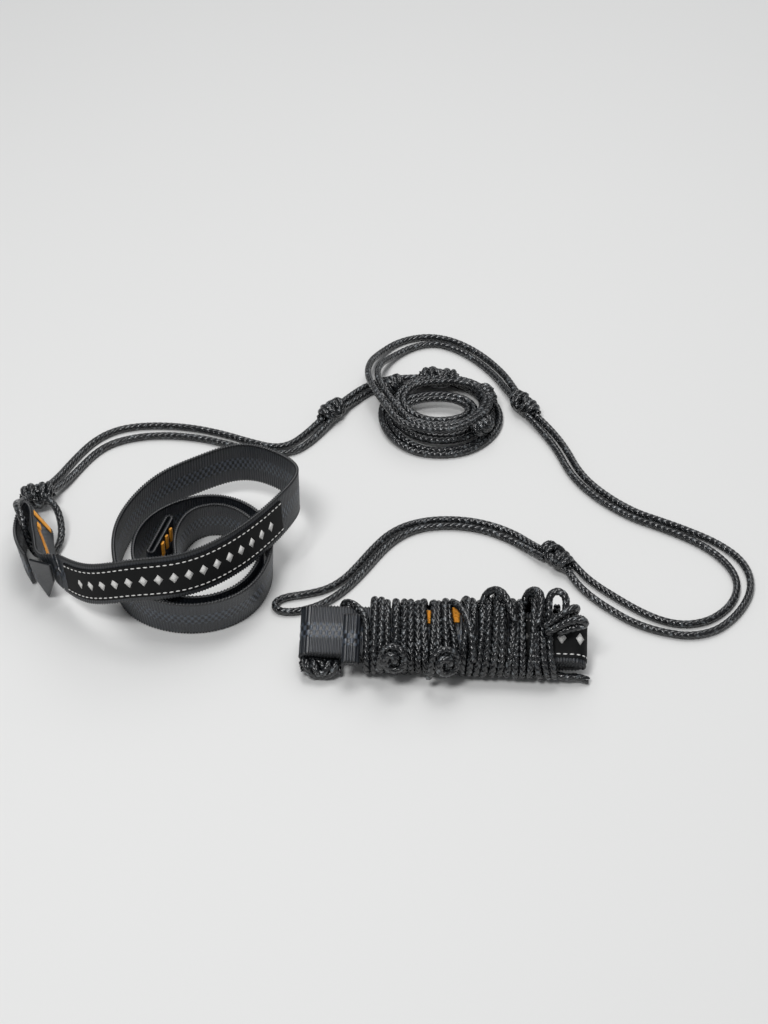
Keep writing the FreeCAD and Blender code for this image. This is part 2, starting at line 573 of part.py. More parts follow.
def strap_b():
    """Every node of the wound strap."""
    roll = webbing_roll()
    label = end_cover(SKIN_GAP, LABEL_THICK, -LABEL_WIDTH / 2, LABEL_WIDTH / 2,
                      LABEL_B_LEFT, LABEL_B_LAST_ANGLE)
    threads = []
    for v in (-LABEL_WIDTH / 2 + THREAD_INSET, LABEL_WIDTH / 2 - THREAD_INSET):
        threads.append(end_cover(2 * SKIN_GAP + LABEL_THICK, THREAD_PROUD,
                                 v - THREAD_WIDTH / 2, v + THREAD_WIDTH / 2,
                                 LABEL_B_LEFT + 1, LABEL_B_LAST_ANGLE + 4))
    face = ROLL_OUTER + WEBBING_THICK / 2 + SKIN_GAP
    tacks = [block(u, v, face + BARTACK_PROUD / 2, size_u, size_v, BARTACK_PROUD)
             for u, v, size_u, size_v in HANK_TACKS]
    fold_middle = face + END_FOLD_LIFT
    fold = block(*END_FOLD_MIDDLE, fold_middle, *END_FOLD_SIZE)
    fold = fold.makeFillet(END_FOLD_ROUND, [
        edge for edge in fold.Edges
        if abs(edge.Vertexes[0].Y - edge.Vertexes[1].Y) > 1
        and edge.Vertexes[0].Z > fold_middle])
    knots = [capsule(*knot) for knot in FRONT_KNOTS]
    wrap = rope_wrap([label, fold] + threads + tacks)
    pieces = {
        "webbing_b_roll": roll,
        "webbing_b_end_fold": fold,
        "label_b": label,
        "label_b_stitching": threads,
        "bartacks_b": tacks,
        "rope_b_wraps": wrap,
        "rope_b_start_hitch": largest(capsule(*START_HITCH).cut(wrap).cut(roll)),
        "rope_b_front_knot_1": largest(knots[0].cut(wrap)),
        "rope_b_front_knot_2": largest(knots[1].cut(wrap)),
    }
    for name, piece in pieces.items():
        solids = piece if isinstance(piece, list) else [piece]
        write(name, [place_hank(solid) for solid in solids])
    routes = {"rope_b_front_bight": FRONT_BIGHT, "rope_b_tail": ROPE_TAIL}
    for i, bight in enumerate(TOP_BIGHTS):
        routes["rope_b_top_bight_%d" % (i + 1)] = bight
    for i, bight in enumerate(END_BIGHTS):
        routes["rope_b_end_bight_%d" % (i + 1)] = bight
    taken = [place_hank(wrap)]
    for name, points in routes.items():
        tube = rope(name, [hank_point(*point) for point in points])
        for other in taken:
            tube = largest(tube.cut(other))
        write(name, tube)
        taken.append(tube)


os.makedirs("parts", exist_ok=True)
strap_a()
strap_b()
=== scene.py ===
"""A pair of hammock straps on a pale floor: one laid out, one wound into a hank.

The webbing, labels, sewing and braided ropes are made over the loaded frame, in metres. The
tables below are in millimetres, and metres() carries them over. They follow the model's, apart
from the top bights, the third end bight, the hank's front knots and the spiral's first leans,
which are set for looks.
"""
import math
import random

import bmesh
import bpy
from mathutils import Matrix, Vector


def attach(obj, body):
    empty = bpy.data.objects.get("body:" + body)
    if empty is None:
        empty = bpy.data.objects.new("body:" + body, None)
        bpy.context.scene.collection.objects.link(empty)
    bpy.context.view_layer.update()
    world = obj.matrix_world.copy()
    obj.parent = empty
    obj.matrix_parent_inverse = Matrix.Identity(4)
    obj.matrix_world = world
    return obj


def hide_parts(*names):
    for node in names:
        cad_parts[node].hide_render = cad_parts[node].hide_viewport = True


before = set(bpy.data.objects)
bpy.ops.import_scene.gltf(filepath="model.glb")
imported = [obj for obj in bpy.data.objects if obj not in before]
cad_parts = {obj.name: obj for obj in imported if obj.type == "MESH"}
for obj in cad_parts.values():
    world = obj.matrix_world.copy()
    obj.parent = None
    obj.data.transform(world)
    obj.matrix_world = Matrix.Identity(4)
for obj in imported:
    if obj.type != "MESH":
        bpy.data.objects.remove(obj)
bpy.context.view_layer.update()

bl_info = {
    "name": "Hammock Straps",
    "version": (1, 0, 0),
    "blender": (4, 5, 0),
    "location": "View3D > Sidebar > Straps",
    "description": "Builds two webbing hammock straps with braided rope",
    "category": "Add Mesh",
}

MM = 0.001
LAID_OUT = "strap_laid_out"
HANK = "strap_hank"

# Webbing and label, the same as the model's
WIDTH = 25.0
THICK = 1.6
STRIPE_ROW = 2.47
STRIPE_HALF = 3.8
LABEL_WIDTH = 19.5
LABEL_LOW = (WIDTH - LABEL_WIDTH) / 2
LABEL_THICK = 0.6
SKIN_GAP = 0.05
LABEL_SPAN = (6.0, 139.0)
THREAD_INSET = 1.7
ROPE_LIFT = 1.9
PAIR_HALF = 1.85

# Slot and finish of the two threads
WHITE = ("white_thread", "White polyester thread")
ORANGE = ("orange_thread", "Orange bartack thread")

# Weave, in metres, and the geometry inputs that are whole numbers
RIB_PITCH = 0.0015
WARP_PITCH = 0.00045
PICK_PITCH = 0.0006
SELVAGE = 0.0011
WHOLE_NUMBERS = ("Sides", "Segments", "Rings", "Seed")

# Laid-out webbing: x, y, z of the lower selvage and the upper one's lean to the inside
SPIRAL = [
    (-113, -10, 8, -6), (-98, -27, 15, 0), (-76, -35.5, 24, 4), (-52, -34, 26, 6),
    (-31, -22, 26.5, 7), (-14, -2, 26.5, 5), (-2, 21, 25, 2), (0.5, 42, 20.5, 0),
    (-10, 59, 17, 2), (-30, 70.8, 13, 3), (-52, 67, 8, 3), (-71, 58, 4, 3), (-84, 42, 1, 2),
    (-90, 20, 0.2, 0), (-89, -2, 0.2, 0), (-80, -20, 0.2, -6), (-64, -30, 0.2, -12),
    (-45, -32, 0.2, -14), (-27, -24.5, 0.2, -12), (-15.5, -8, 0.2, -6), (-12.5, 12, 0.2, -2),
    (-18, 32, 0.2, 4), (-32, 45, 0.2, 8), (-48, 47.5, 0.2, 9), (-64, 40, 0.2, 6),
    (-76, 25, 0.2, 2), (-80, 8, 0.2, 0), (-76, -9, 0.2, -4), (-65, -22.5, 0.2, -10),
    (-48, -27.5, 0.2, -13), (-31, -22, 0.2, -11), (-19.5, -7, 0.2, -5), (-17, 12, 0.2, -1),
    (-22.5, 29, 0.2, 5), (-34, 40, 0.2, 10), (-47, 41, 0.2, 11), (-56, 32.5, 0.2, 6),
    (-59.5, 18, 0.2, 1), (-59, 2, 0.2, 0), (-60.5, -10.5, 0.2, 0), (-65.5, -12.5, 0.2, 0),
    (-69.5, -6, 0.2, 0)]
OUTER_EYE = [
    ((-114.5, -8.2, 8), (-117.6, -11.4, 33)), ((-119, -1, 7.5), (-125, -8, 31.5)),
    ((-121.5, 12, 7.5), (-129.5, 4, 31)), ((-124.5, 27, 8), (-132.5, 19, 30.5)),
    ((-127.5, 36.5, 8), (-134.5, 29.5, 30)), ((-132, 39, 6), (-137.3, 33, 29)),
    ((-136.5, 35.5, 3.5), (-139.7, 30, 27)), ((-139.3, 26, 1), (-141, 20, 25)),
    ((-136.5, 13, 0.8), (-138, 7, 24.5)), ((-131.5, 3, 0.8), (-133, -2.5, 24.5))]
FLAP = [(-131.5, -4.5, 23), (-119, -16, 29.5), (-118.6, -14.5, 17), (-123.2, -7.3, 0.8),
        (-128.6, -4.5, 9)]
FLAP_THICK = 1.5
INNER_EYE_ENDS = [(-70.8, 1.0), (-63.9, 26.0)]
INNER_EYE_RADIUS = 1.5

# Rope routes of the laid-out strap; a point with no height lies on the ground
GROUND_HEIGHT = 1.8
FIRST_LOOP_BACK = [
    (-136.5, 66, 8), (-130.5, 81, 3.5), (-123, 101), (-114, 118), (-103, 128), (-89, 132),
    (-72, 132), (-56, 129), (-42, 124), (-27, 117), (-15, 112.5), (-6, 115), (1, 123),
    (8, 132, 3), (14, 139, 5)]
FIRST_LOOP_FRONT = [
    (-134.5, 64, 8), (-126, 77, 3.5), (-118.5, 95), (-111, 109), (-102, 117.5), (-88, 122.5),
    (-72, 123.5), (-56, 121), (-43, 116.5), (-29, 110.5), (-16, 106.5), (-3, 109),
    (5.5, 118.5), (12.5, 129, 3), (18, 137.5, 5)]
LEAD_BACK = [(17, 143, 5), (25, 157, 2.6), (35.5, 169.5), (49, 176.5)]
LEAD_FRONT = [(19, 141, 5), (28, 153, 2.6), (36.5, 163), (45.5, 168.5)]
TOP_LOOP_OUTER = [
    (55, 116, 14.2), (46, 134, 14.2), (38.5, 153, 13.5), (35.5, 168, 11), (37, 182, 9),
    (42.5, 198, 3.4), (53.5, 212), (69.5, 217.5), (85, 213.5), (100.5, 200), (113, 181),
    (118.5, 164.5, 3), (122, 151, 5)]
TOP_LOOP_INNER = [
    (62.5, 114.5, 14.2), (51.5, 134.5, 14.2), (43.5, 153, 13.5), (40.8, 167.5, 11),
    (42.8, 180, 9), (49, 194, 3.4), (60.5, 206), (73, 210.5), (84, 206.5), (97, 195),
    (108.5, 178), (114.2, 162.5, 3), (119.5, 150, 5)]
SIDE_LOOP_OUTER = [
    (124, 145, 5), (133.5, 134, 2.6), (143.5, 114), (150, 90), (161, 73), (176, 58),
    (191, 50), (206, 41), (218, 32), (227, 21), (230.5, 9), (229.5, -3), (224.5, -14.5),
    (217, -25), (207.5, -33.5), (195, -37), (181.5, -34), (168, -27.5), (154, -14.5),
    (144, -2), (139, 7.5, 3), (134.5, 16, 5)]
SIDE_LOOP_INNER = [
    (121, 143.5, 5), (129, 132, 2.6), (138.7, 112), (145.2, 88), (157, 69.5), (173, 54),
    (188.5, 45.5), (203.5, 36), (214.5, 25.5), (221.5, 13.5), (223.5, 2), (220.5, -9.5),
    (213.5, -19.5), (203.5, -27), (190, -29), (176, -22.5), (161.5, -9.5), (149, 3.5),
    (142.7, 12.5, 3), (137.5, 20, 5)]
END_LOOP = [
    (129, 21, 5), (121, 31, 2.6), (113.5, 39.5), (102.5, 46.5), (89.5, 51), (74, 52),
    (60, 49), (48.5, 41.5), (40, 30), (32.5, 17), (25, 5), (16, -3), (5, -6.5), (-5, -8.5),
    (-10, -13), (-8, -18.7), (0, -19.5), (9.5, -16.5), (19, -10), (28, 0.5), (36.2, 13.5),
    (43.5, 26.5), (51.5, 37), (61.5, 44.2), (74.5, 47), (88.5, 46), (100.5, 41.8),
    (110.2, 35.5), (118, 28, 2.6), (126.5, 18.5, 5)]
EYE_BIGHT = [
    (-138.5, 62, 10), (-142, 50, 15.5), (-142.5, 38, 24.5), (-140.5, 28, 31), (-137, 20, 30),
    (-134.8, 16, 22), (-133, 15.5, 12.5), (-129.5, 18, 5.2), (-123.5, 24.5, 2.8),
    (-121, 33, 4.4), (-121.8, 42, 8), (-125.5, 51.5, 12), (-132, 58.5, 12)]

# Knots: middle, heading, length and half thickness
KNOTS = {
    "rope_a_hitch_knot": ((-136.5, 64, 9.0), (1, 0.25, 0.1), 19.0, 7.2),
    "rope_a_knot_1": ((16, 141, 5.6), (0.6, 0.8, 0), 18.0, 5.5),
    "rope_a_knot_2": ((123.3, 147, 5.4), (0.55, -0.83, 0), 23.0, 5.3),
    "rope_a_knot_3": ((133, 18.5, 5.4), (-0.6, 0.8, 0), 23.0, 5.3),
    "rope_a_coil_knot_1": ((76, 166, 10.5), (1, -0.1, 0), 24.0, 5.4),
    "rope_a_coil_knot_2": ((49, 160, 9.5), (0.7, 0.7, 0), 13.0, 4.6),
    "rope_a_coil_knot_3": ((102, 148, 10), (0.2, -1, 0), 17.0, 5.0),
    "rope_a_coil_knot_4": ((98, 122, 9.5), (-0.75, -0.66, 0), 14.0, 4.6),
}

# Coil of doubled rope, for each turn: middle, radius at the middle of a pair, how round, height
COIL_TURNS = [(75, 140, 33.2, 1.0, 1.8), (75, 143.0, 28.0, 1.0, 5.2),
              (75, 138.4, 19.0, 0.64, 8.2), (74.5, 145, 22.0, 0.78, 11.2)]
COIL_LEAVE = (74.5, 146.5, 35.0)
# Degrees: one step of a turn, and the last stretch, where the rope widens to leave
COIL_STEP = 24
COIL_LEAVING = 210.0

# Hank: a point u, v, w stands along, across and out of the roll
HANK_MIDDLE = (74.3, -51.2, 14.2)
HANK_TILT = 28.0
HANK_YAW = -2.9
ROLL_LEFT = -64.0
ROLL_RIGHT = 61.0
ROLL_PITCH = 1.85
ROLL_OUTER = 5.0
ROLL_LAYERS = 6
ROLL_INNER_END = 57.0
ROLL_CUT_ANGLE = -20
LABEL_B_LEFT = 34.0
LABEL_B_LAST_ANGLE = -12.0
HANK_KNOTS = {
    "rope_b_start_hitch": ((-59, -15.8, -1.2), (1, 0, -0.1), 21.0, 5.2),
    "rope_b_front_knot_1": ((-24, -15.2, 13.4), (0.1, 1, 0.8), 21.0, 5.8),
    "rope_b_front_knot_2": ((0.5, -15.8, 13.2), (-0.1, 1, 0.85), 22.0, 6.2),
}
FRONT_BIGHT = [(3, 16, 6.5), (5.5, 14, 10.5), (10, 7, 14), (12.5, -1, 15), (13.5, -8, 13),
               (14, -14, 9)]
TOP_BIGHTS = [
    [(17.5, 15.5, 7.5), (18.5, 19.2, 9), (21.5, 21.2, 11.4), (25, 20.4, 14.4),
     (28, 17.2, 15.6), (30.5, 12.2, 14.7), (33, 5, 13.8)],
    [(37, 15, 7.5), (38, 19.4, 9), (40.5, 21.8, 11.8), (44, 20.4, 15), (45.5, 16, 15.9),
     (45.3, 10.5, 15), (44, 3, 13.9)]]
END_BIGHTS = [
    [(49.3, 5.5, 12.4), (49, 12, 14.4), (49, 17.8, 15.8), (52.9, 20.5, 16.4),
     (57.1, 17.8, 15.8), (57.2, 12, 14.4), (57, 5.5, 12.4)],
    [(47.5, 3, 13.6), (54, 7, 17), (59.5, 10.5, 19.2), (62.6, 12.2, 15.8),
     (61.7, 11.4, 10.9), (56.8, 8.1, 8.7), (52, 5.5, 8.2)],
    [(48.5, 0, 13), (55, 3, 17), (61.5, 5.2, 19.4), (66.5, 4.6, 18), (65.8, 3.4, 14.6),
     (60, 2.6, 14.4), (54, 0, 12.9)]]
ROPE_TAIL = [(40, -14.6, -5), (46, -16, -3), (52, -15.2, -1.4), (58, -17, -2.4),
             (64, -15.8, -3.4), (69, -17.2, -4.8)]
WRAP_PASSES = 26
WRAP_START = -38.6
WRAP_PITCH = 3.56
FIRST_PASS = -50.0
FIRST_SINK = 2.2
WRAP_STEPS = 14
WRAP_HALF = (17.1, 9.3)
PARTINGS = [(4.2, 3.0), (-8.0, 1.3)]
# Passes that ride up over others, and how far
HUMPS = {8: 1.2, 11: 1.8, 13: 3.8, 14: 1.5, 16: 3.2, 17: 5.0, 18: 5.2, 19: 2.6, 21: 2.4,
         22: 5.4, 23: 4.6, 24: 2.0}

# Each strand's rise and depth in the braid, in strand thicknesses
BRAID_RISE = 0.2
BRAID_INSET = 0.52

# Knots at their own size, and how far apart a figure-eight's two ropes lie
FIGURE_LENGTH = 21.5
FIGURE_HALF = 4.5
RING_HALF = 5.3
KNOT_SPREAD = 1.8
# A doubled figure-eight knot: along, across and up, then the side that faces out
FIGURE_EIGHT = [
    ((-9.5, 0.0, 0.2), (0, 0, 1)), ((-4.0, 1.0, -0.8), (0, 0, 1)),
    ((1.0, 2.6, -1.6), (0, 0.7, -0.7)), ((4.6, 3.4, 0.6), (0, 1, 0)),
    ((5.8, 1.2, 3.3), (0, 0.3, 1)), ((5.2, -1.9, 3.1), (0, -0.4, 1)),
    ((3.6, -3.7, 0.6), (0, -1, 0)), ((0.0, -3.2, -1.4), (0, -0.8, -0.6)),
    ((-3.8, -3.6, 0.4), (0, -1, 0)), ((-5.6, -1.6, 3.1), (0, -0.3, 1)),
    ((-5.8, 1.6, 3.2), (0, 0.3, 1)), ((-4.2, 3.6, 0.8), (0, 1, 0)),
    ((-0.6, 1.9, 2.4), (0, 0.5, 0.9)), ((3.2, -0.2, 0.6), (0, 0, 1)),
    ((9.5, 0.0, 0.2), (0, 0, 1))]

# A round knot seen from outside: one rope wound in on itself
RING_KNOT = [
    (-7.5, 6.5, -2.0), (-4.5, 5.8, 0.6), (-1.0, 5.6, 2.0), (3.8, 4.2, 2.6),
    (5.8, 0.2, 2.8), (4.0, -4.2, 2.6), (-0.4, -5.6, 1.8), (-4.6, -3.8, 1.6),
    (-5.6, 0.6, 2.4), (-2.6, 3.2, 4.0), (1.8, 2.4, 5.0), (2.4, -1.0, 5.2),
    (-0.6, -2.0, 4.4), (-1.6, 0.0, 2.0)]


def linear(code):
    """Linear red, green and blue from an sRGB hex colour."""
    values = [int(code[i:i + 2], 16) / 255 for i in (1, 3, 5)]
    return [v / 12.92 if v <= 0.04045 else ((v + 0.055) / 1.055) ** 2.4 for v in values]


def smooth(share):
    """A share from 0 to 1 with eased ends."""
    return share * share * (3 - 2 * share)


def metres(points):
    """Points in metres, from millimetres; those with no height lie on the ground."""
    return [Vector((*point, GROUND_HEIGHT)[:3]) * MM for point in points]


def length_setting(name, about, default):
    """A length on the panel."""
    return bpy.props.FloatProperty(name=name, description=about, default=default,
                                   unit="LENGTH")


def colour_setting(name, about, code):
    """A colour on the panel."""
    return bpy.props.FloatVectorProperty(name=name, description=about, subtype="COLOR",
                                         default=linear(code))


class RopeSettings(bpy.types.PropertyGroup):
    """Sizes and colours of the braided rope."""
    diameter: length_setting("Rope diameter", "Across the braid", 0.0036)
    pitch: length_setting("Braid pitch", "Length of one turn of a strand", 0.0128)
    strand_width: length_setting("Strand width", "Across one flat strand", 0.0023)
    strand_thickness: length_setting("Strand thickness", "Through one flat strand", 0.00095)
    dark: colour_setting("Rope colour", "Shaded side of the strands", "#0d0f12")
    # Painted glints: a light colour put on the strands' crowns in place of their highlights.
    light: colour_setting("Painted strand glint colour", "Glints painted on the strand tops", "#868c90")


class WebbingSettings(bpy.types.PropertyGroup):
    """Sizes and colours of the woven webbing."""
    rib_pitch: length_setting("Rib pitch", "From one cross rib to the next", RIB_PITCH)
    rib_height: length_setting("Rib height", "Rise of a cross rib", 0.00016)
    brick_height: length_setting(
        "Middle stripe relief", "Rise of the middle stripe's bricks", 0.00025)
    yarn: colour_setting("Webbing colour", "Polyester yarn", "#1f242b")
    ribbon: colour_setting("Label colour", "Satin ribbon", "#08090a")


class SewingSettings(bpy.types.PropertyGroup):
    """Sizes and colours of the sewing."""
    stitch_pitch: length_setting("Stitch pitch", "From one running stitch to the next", 0.0031)
    stitch_length: length_setting("Stitch length", "Length of a running stitch", 0.0023)
    white: colour_setting("White thread", "Running stitches and label marks", "#f4f3f0")
    orange: colour_setting("Orange thread", "Bartacks", "#ffae2a")


class StageSettings(bpy.types.PropertyGroup):
    """Camera and floor."""
    distance: length_setting("Camera distance", "From the middle of the straps", 1.1)
    elevation: bpy.props.FloatProperty(
        name="Camera elevation", description="Angle above the floor",
        default=math.radians(40), unit="ROTATION")
    floor: colour_setting("Floor colour", "Plain pale floor", "#e2e2e1")


def add(tree, kind, inputs=None, **settings):
    """Add a node with its settings; an input is a value, a socket or a node."""
    node = tree.nodes.new(kind)
    for name, value in settings.items():
        setattr(node, name, value)
    for key, value in (inputs or {}).items():
        if isinstance(value, bpy.types.Node):
            tree.links.new(value.outputs[0], node.inputs[key])
        elif isinstance(value, bpy.types.NodeSocket):
            tree.links.new(value, node.inputs[key])
        else:
            node.inputs[key].default_value = value
    return node


def calc(tree, operation, *values):
    """One step of arithmetic."""
    return add(tree, "ShaderNodeMath", dict(enumerate(values)), operation=operation)


def scaled(tree, vector, factor):
    """A vector or a colour times a factor."""
    return add(tree, "ShaderNodeVectorMath", {0: vector, "Scale": factor},
               operation="SCALE")


def remap(tree, value, source, target=(0.0, 1.0)):
    """A value carried from one range to another, and kept inside it."""
    return add(tree, "ShaderNodeMapRange",
               {"Value": value, "From Min": source[0], "From Max": source[1],
                "To Min": target[0], "To Max": target[1]})


def bricks(tree, across, run):
    """The middle stripe's wave; every other of its three rows is half a brick along."""
    row = calc(tree, "FLOOR", calc(tree, "DIVIDE", across, STRIPE_ROW * MM))
    return calc(tree, "COSINE", calc(tree, "MULTIPLY_ADD", row, math.pi, run))


def geometry_tree(name, *labels):
    """A node tree for geometry with named inputs, and its input node."""
    tree = bpy.data.node_groups.new(name, "GeometryNodeTree")
    face = tree.interface
    face.new_socket("Geometry", in_out="INPUT", socket_type="NodeSocketGeometry")
    for label in labels:
        kind = "Int" if label in WHOLE_NUMBERS else "Float"
        face.new_socket(label, in_out="INPUT", socket_type="NodeSocket" + kind)
    face.new_socket("Material", in_out="INPUT", socket_type="NodeSocketMaterial")
    face.new_socket("Geometry", in_out="OUTPUT", socket_type="NodeSocketGeometry")
    return tree, add(tree, "NodeGroupInput")


def end_tree(tree, start, shape):
    """Realize the instances, set the material and close the tree."""
    real = add(tree, "GeometryNodeRealizeInstances", {0: shape})
    smooth = add(tree, "GeometryNodeSetShadeSmooth", {0: real})
    coated = add(tree, "GeometryNodeSetMaterial",
                 {"Geometry": smooth, "Material": start.outputs["Material"]})
    add(tree, "NodeGroupOutput", {0: coated})


def braid_tree():
    """Four strands one way and four the other, each over two and under two."""
    tree, start = geometry_tree("Braided rope", "Diameter", "Pitch", "Strand Width",
                                "Strand Thickness", "Step", "Sides")
    ask = start.outputs
    line = add(tree, "GeometryNodeMeshToCurve", {0: ask["Geometry"]})
    line = add(tree, "GeometryNodeResampleCurve", {"Curve": line, "Length": ask["Step"]},
               mode="LENGTH")
    copies = add(tree, "GeometryNodeDuplicateElements", {"Geometry": line, "Amount": 8},
                 domain="SPLINE")
    index = copies.outputs["Duplicate Index"]
    along = add(tree, "GeometryNodeSplineParameter").outputs["Length"]
    hand = calc(tree, "MODULO", index, 2.0)
    pair = calc(tree, "DIVIDE", index, 2.0)
    pair = calc(tree, "FLOOR", pair)
    way = calc(tree, "MULTIPLY_ADD", hand, -2.0, 1.0)
    turns = calc(tree, "DIVIDE", along, ask["Pitch"])
    turned = calc(tree, "MULTIPLY", turns, way)
    place = calc(tree, "MULTIPLY_ADD", pair, 0.25, turned)
    angle = calc(tree, "MULTIPLY", place, math.tau)
    # A strand is out for two crossings and in for two; each hand takes the other's turn.
    crossing = calc(tree, "MULTIPLY", turned, 2.0)
    phase = calc(tree, "MULTIPLY_ADD", pair, 0.5, crossing)
    shift = calc(tree, "MULTIPLY_ADD", hand, -0.5, -0.125)
    phase = calc(tree, "ADD", phase, shift)
    phase = calc(tree, "MULTIPLY", phase, math.tau)
    crown = calc(tree, "COSINE", phase)
    rise = calc(tree, "MULTIPLY", ask["Strand Thickness"], BRAID_RISE)
    inset = calc(tree, "MULTIPLY", ask["Strand Thickness"], -BRAID_INSET)
    radius = calc(tree, "MULTIPLY_ADD", ask["Diameter"], 0.5, inset)
    radius = calc(tree, "MULTIPLY_ADD", crown, rise, radius)
    normal = add(tree, "GeometryNodeInputNormal").outputs["Normal"]
    heading = add(tree, "GeometryNodeInputTangent")
    side = add(tree, "ShaderNodeVectorMath", {0: heading, 1: normal},
               operation="CROSS_PRODUCT")
    cosine = calc(tree, "COSINE", angle)
    sine = calc(tree, "SINE", angle)
    one = scaled(tree, normal, cosine)
    two = scaled(tree, side, sine)
    outward = add(tree, "ShaderNodeVectorMath", {0: one, 1: two}, operation="ADD")
    kept = add(tree, "GeometryNodeCaptureAttribute", {"Geometry": copies}, domain="POINT")
    kept.capture_items.new("VECTOR", "Outward")
    kept.capture_items.new("FLOAT", "Crown")
    tree.links.new(outward.outputs[0], kept.inputs["Outward"])
    tree.links.new(crown.outputs[0], kept.inputs["Crown"])
    offset = scaled(tree, kept.outputs["Outward"], radius)
    strands = add(tree, "GeometryNodeSetPosition",
                  {"Geometry": kept.outputs[0], "Offset": offset})
    strands = add(tree, "GeometryNodeSetCurveNormal",
                  {"Curve": strands, "Normal": kept.outputs["Outward"]}, mode="FREE")
    strands = add(tree, "GeometryNodeStoreNamedAttribute",
                  {"Geometry": strands, "Name": "crown", "Value": kept.outputs["Crown"]},
                  data_type="FLOAT", domain="POINT")
    ring = add(tree, "GeometryNodeCurvePrimitiveCircle",
               {"Resolution": ask["Sides"], "Radius": 0.5})
    size = add(tree, "ShaderNodeCombineXYZ",
               {0: ask["Strand Thickness"], 1: ask["Strand Width"], 2: 1.0})
    ring = add(tree, "GeometryNodeTransform", {"Geometry": ring.outputs["Curve"],
                                               "Scale": size})
    body = add(tree, "GeometryNodeCurveToMesh",
               {"Curve": strands, "Profile Curve": ring, "Fill Caps": True})
    end_tree(tree, start, body)
    return tree


def stitch_tree():
    """Rounded stitches along a line, each turned to its line and lying on the cloth."""
    tree, start = geometry_tree("Stitch row", "Pitch", "Length", "Width", "Height", "Turn",
                                "Segments", "Rings", "Jitter", "Seed")
    ask = start.outputs
    line = add(tree, "GeometryNodeMeshToCurve", {0: ask["Geometry"]})
    line = add(tree, "GeometryNodeResampleCurve", {"Curve": line, "Length": ask["Pitch"]},
               mode="LENGTH")
    heading = add(tree, "GeometryNodeInputTangent")
    kept = add(tree, "GeometryNodeCaptureAttribute", {"Geometry": line}, domain="POINT")
    kept.capture_items.new("VECTOR", "Heading")
    tree.links.new(heading.outputs[0], kept.inputs["Heading"])
    face = add(tree, "GeometryNodeInputNamedAttribute", {"Name": "face"},
               data_type="FLOAT_VECTOR")
    lie = add(tree, "FunctionNodeAxesToRotation",
              {0: face, 1: kept.outputs["Heading"]}, primary_axis="Z", secondary_axis="X")
    low = calc(tree, "SUBTRACT", ask["Turn"], ask["Jitter"])
    high = calc(tree, "ADD", ask["Turn"], ask["Jitter"])
    swing = add(tree, "FunctionNodeRandomValue", {2: low, 3: high, "Seed": ask["Seed"]},
                data_type="FLOAT")
    swing = add(tree, "FunctionNodeAxisAngleToRotation",
                {"Axis": (0, 0, 1), "Angle": swing.outputs[1]})
    lie = add(tree, "FunctionNodeRotateRotation", {0: lie, 1: swing},
              rotation_space="LOCAL")
    bead = add(tree, "GeometryNodeMeshUVSphere",
               {"Segments": ask["Segments"], "Rings": ask["Rings"], "Radius": 0.5})
    size = add(tree, "ShaderNodeCombineXYZ",
               {0: ask["Length"], 1: ask["Width"], 2: ask["Height"]})
    row = add(tree, "GeometryNodeInstanceOnPoints",
              {"Points": kept, "Instance": bead, "Rotation": lie, "Scale": size})
    end_tree(tree, start, row)
    return tree


def webbing_tree():
    """Cross ribs, a brick-like middle stripe and beaded selvages."""
    tree, start = geometry_tree("Webbing ribs", "Rib Pitch", "Rib Height",
                                "Brick Height")
    ask = start.outputs
    along = add(tree, "GeometryNodeInputNamedAttribute", {"Name": "along"},
                data_type="FLOAT")
    across = add(tree, "GeometryNodeInputNamedAttribute", {"Name": "across"},
                 data_type="FLOAT")
    count = calc(tree, "DIVIDE", along, ask["Rib Pitch"])
    angle = calc(tree, "MULTIPLY", count, math.tau)
    rib = calc(tree, "COSINE", angle)
    rib = calc(tree, "MULTIPLY", rib, ask["Rib Height"])
    brick = bricks(tree, across, calc(tree, "MULTIPLY", angle, 0.5))
    brick = calc(tree, "MULTIPLY", brick, ask["Brick Height"])
    above = calc(tree, "GREATER_THAN", across, (WIDTH / 2 - STRIPE_HALF) * MM)
    below = calc(tree, "LESS_THAN", across, (WIDTH / 2 + STRIPE_HALF) * MM)
    stripe = calc(tree, "MULTIPLY", above, below)
    relief = add(tree, "ShaderNodeMix", {0: stripe, 2: rib, 3: brick}, data_type="FLOAT")
    far = calc(tree, "SUBTRACT", WIDTH * MM, SELVAGE)
    lower = calc(tree, "LESS_THAN", across, SELVAGE)
    upper = calc(tree, "GREATER_THAN", across, far)
    edge = calc(tree, "ADD", lower, upper)
    bead = calc(tree, "MULTIPLY", rib, 2.0)
    relief = add(tree, "ShaderNodeMix", {0: edge, 2: relief, 3: bead}, data_type="FLOAT")
    normal = add(tree, "GeometryNodeInputNormal").outputs["Normal"]
    offset = scaled(tree, normal, relief)
    cloth = add(tree, "GeometryNodeSetPosition",
                {"Geometry": ask["Geometry"], "Offset": offset})
    end_tree(tree, start, cloth)
    return tree


def material(name, values):
    """A new material with its tree and its surface shader, whose sockets take the values."""
    paint = bpy.data.materials.new(name)
    paint.use_nodes = True
    skin = paint.node_tree.nodes["Principled BSDF"]
    for socket, value in values.items():
        skin.inputs[socket].default_value = value
    return paint, paint.node_tree, skin


def attribute(tree, name):
    """A value that the geometry carries."""
    return add(tree, "ShaderNodeAttribute", attribute_name=name,
               attribute_type="GEOMETRY").outputs["Fac"]


def noise(tree, scale, detail=2.0, roughness=0.5):
    """Soft noise through the object, in its own place."""
    where = add(tree, "ShaderNodeTexCoord").outputs["Object"]
    return add(tree, "ShaderNodeTexNoise", {"Vector": where, "Scale": scale,
                                            "Detail": detail, "Roughness": roughness})


def roughen(tree, skin, height, strength, distance):
    """Fine relief on a surface shader."""
    bump = add(tree, "ShaderNodeBump", {"Height": height, "Strength": strength,
                                        "Distance": distance})
    tree.links.new(bump.outputs[0], skin.inputs["Normal"])


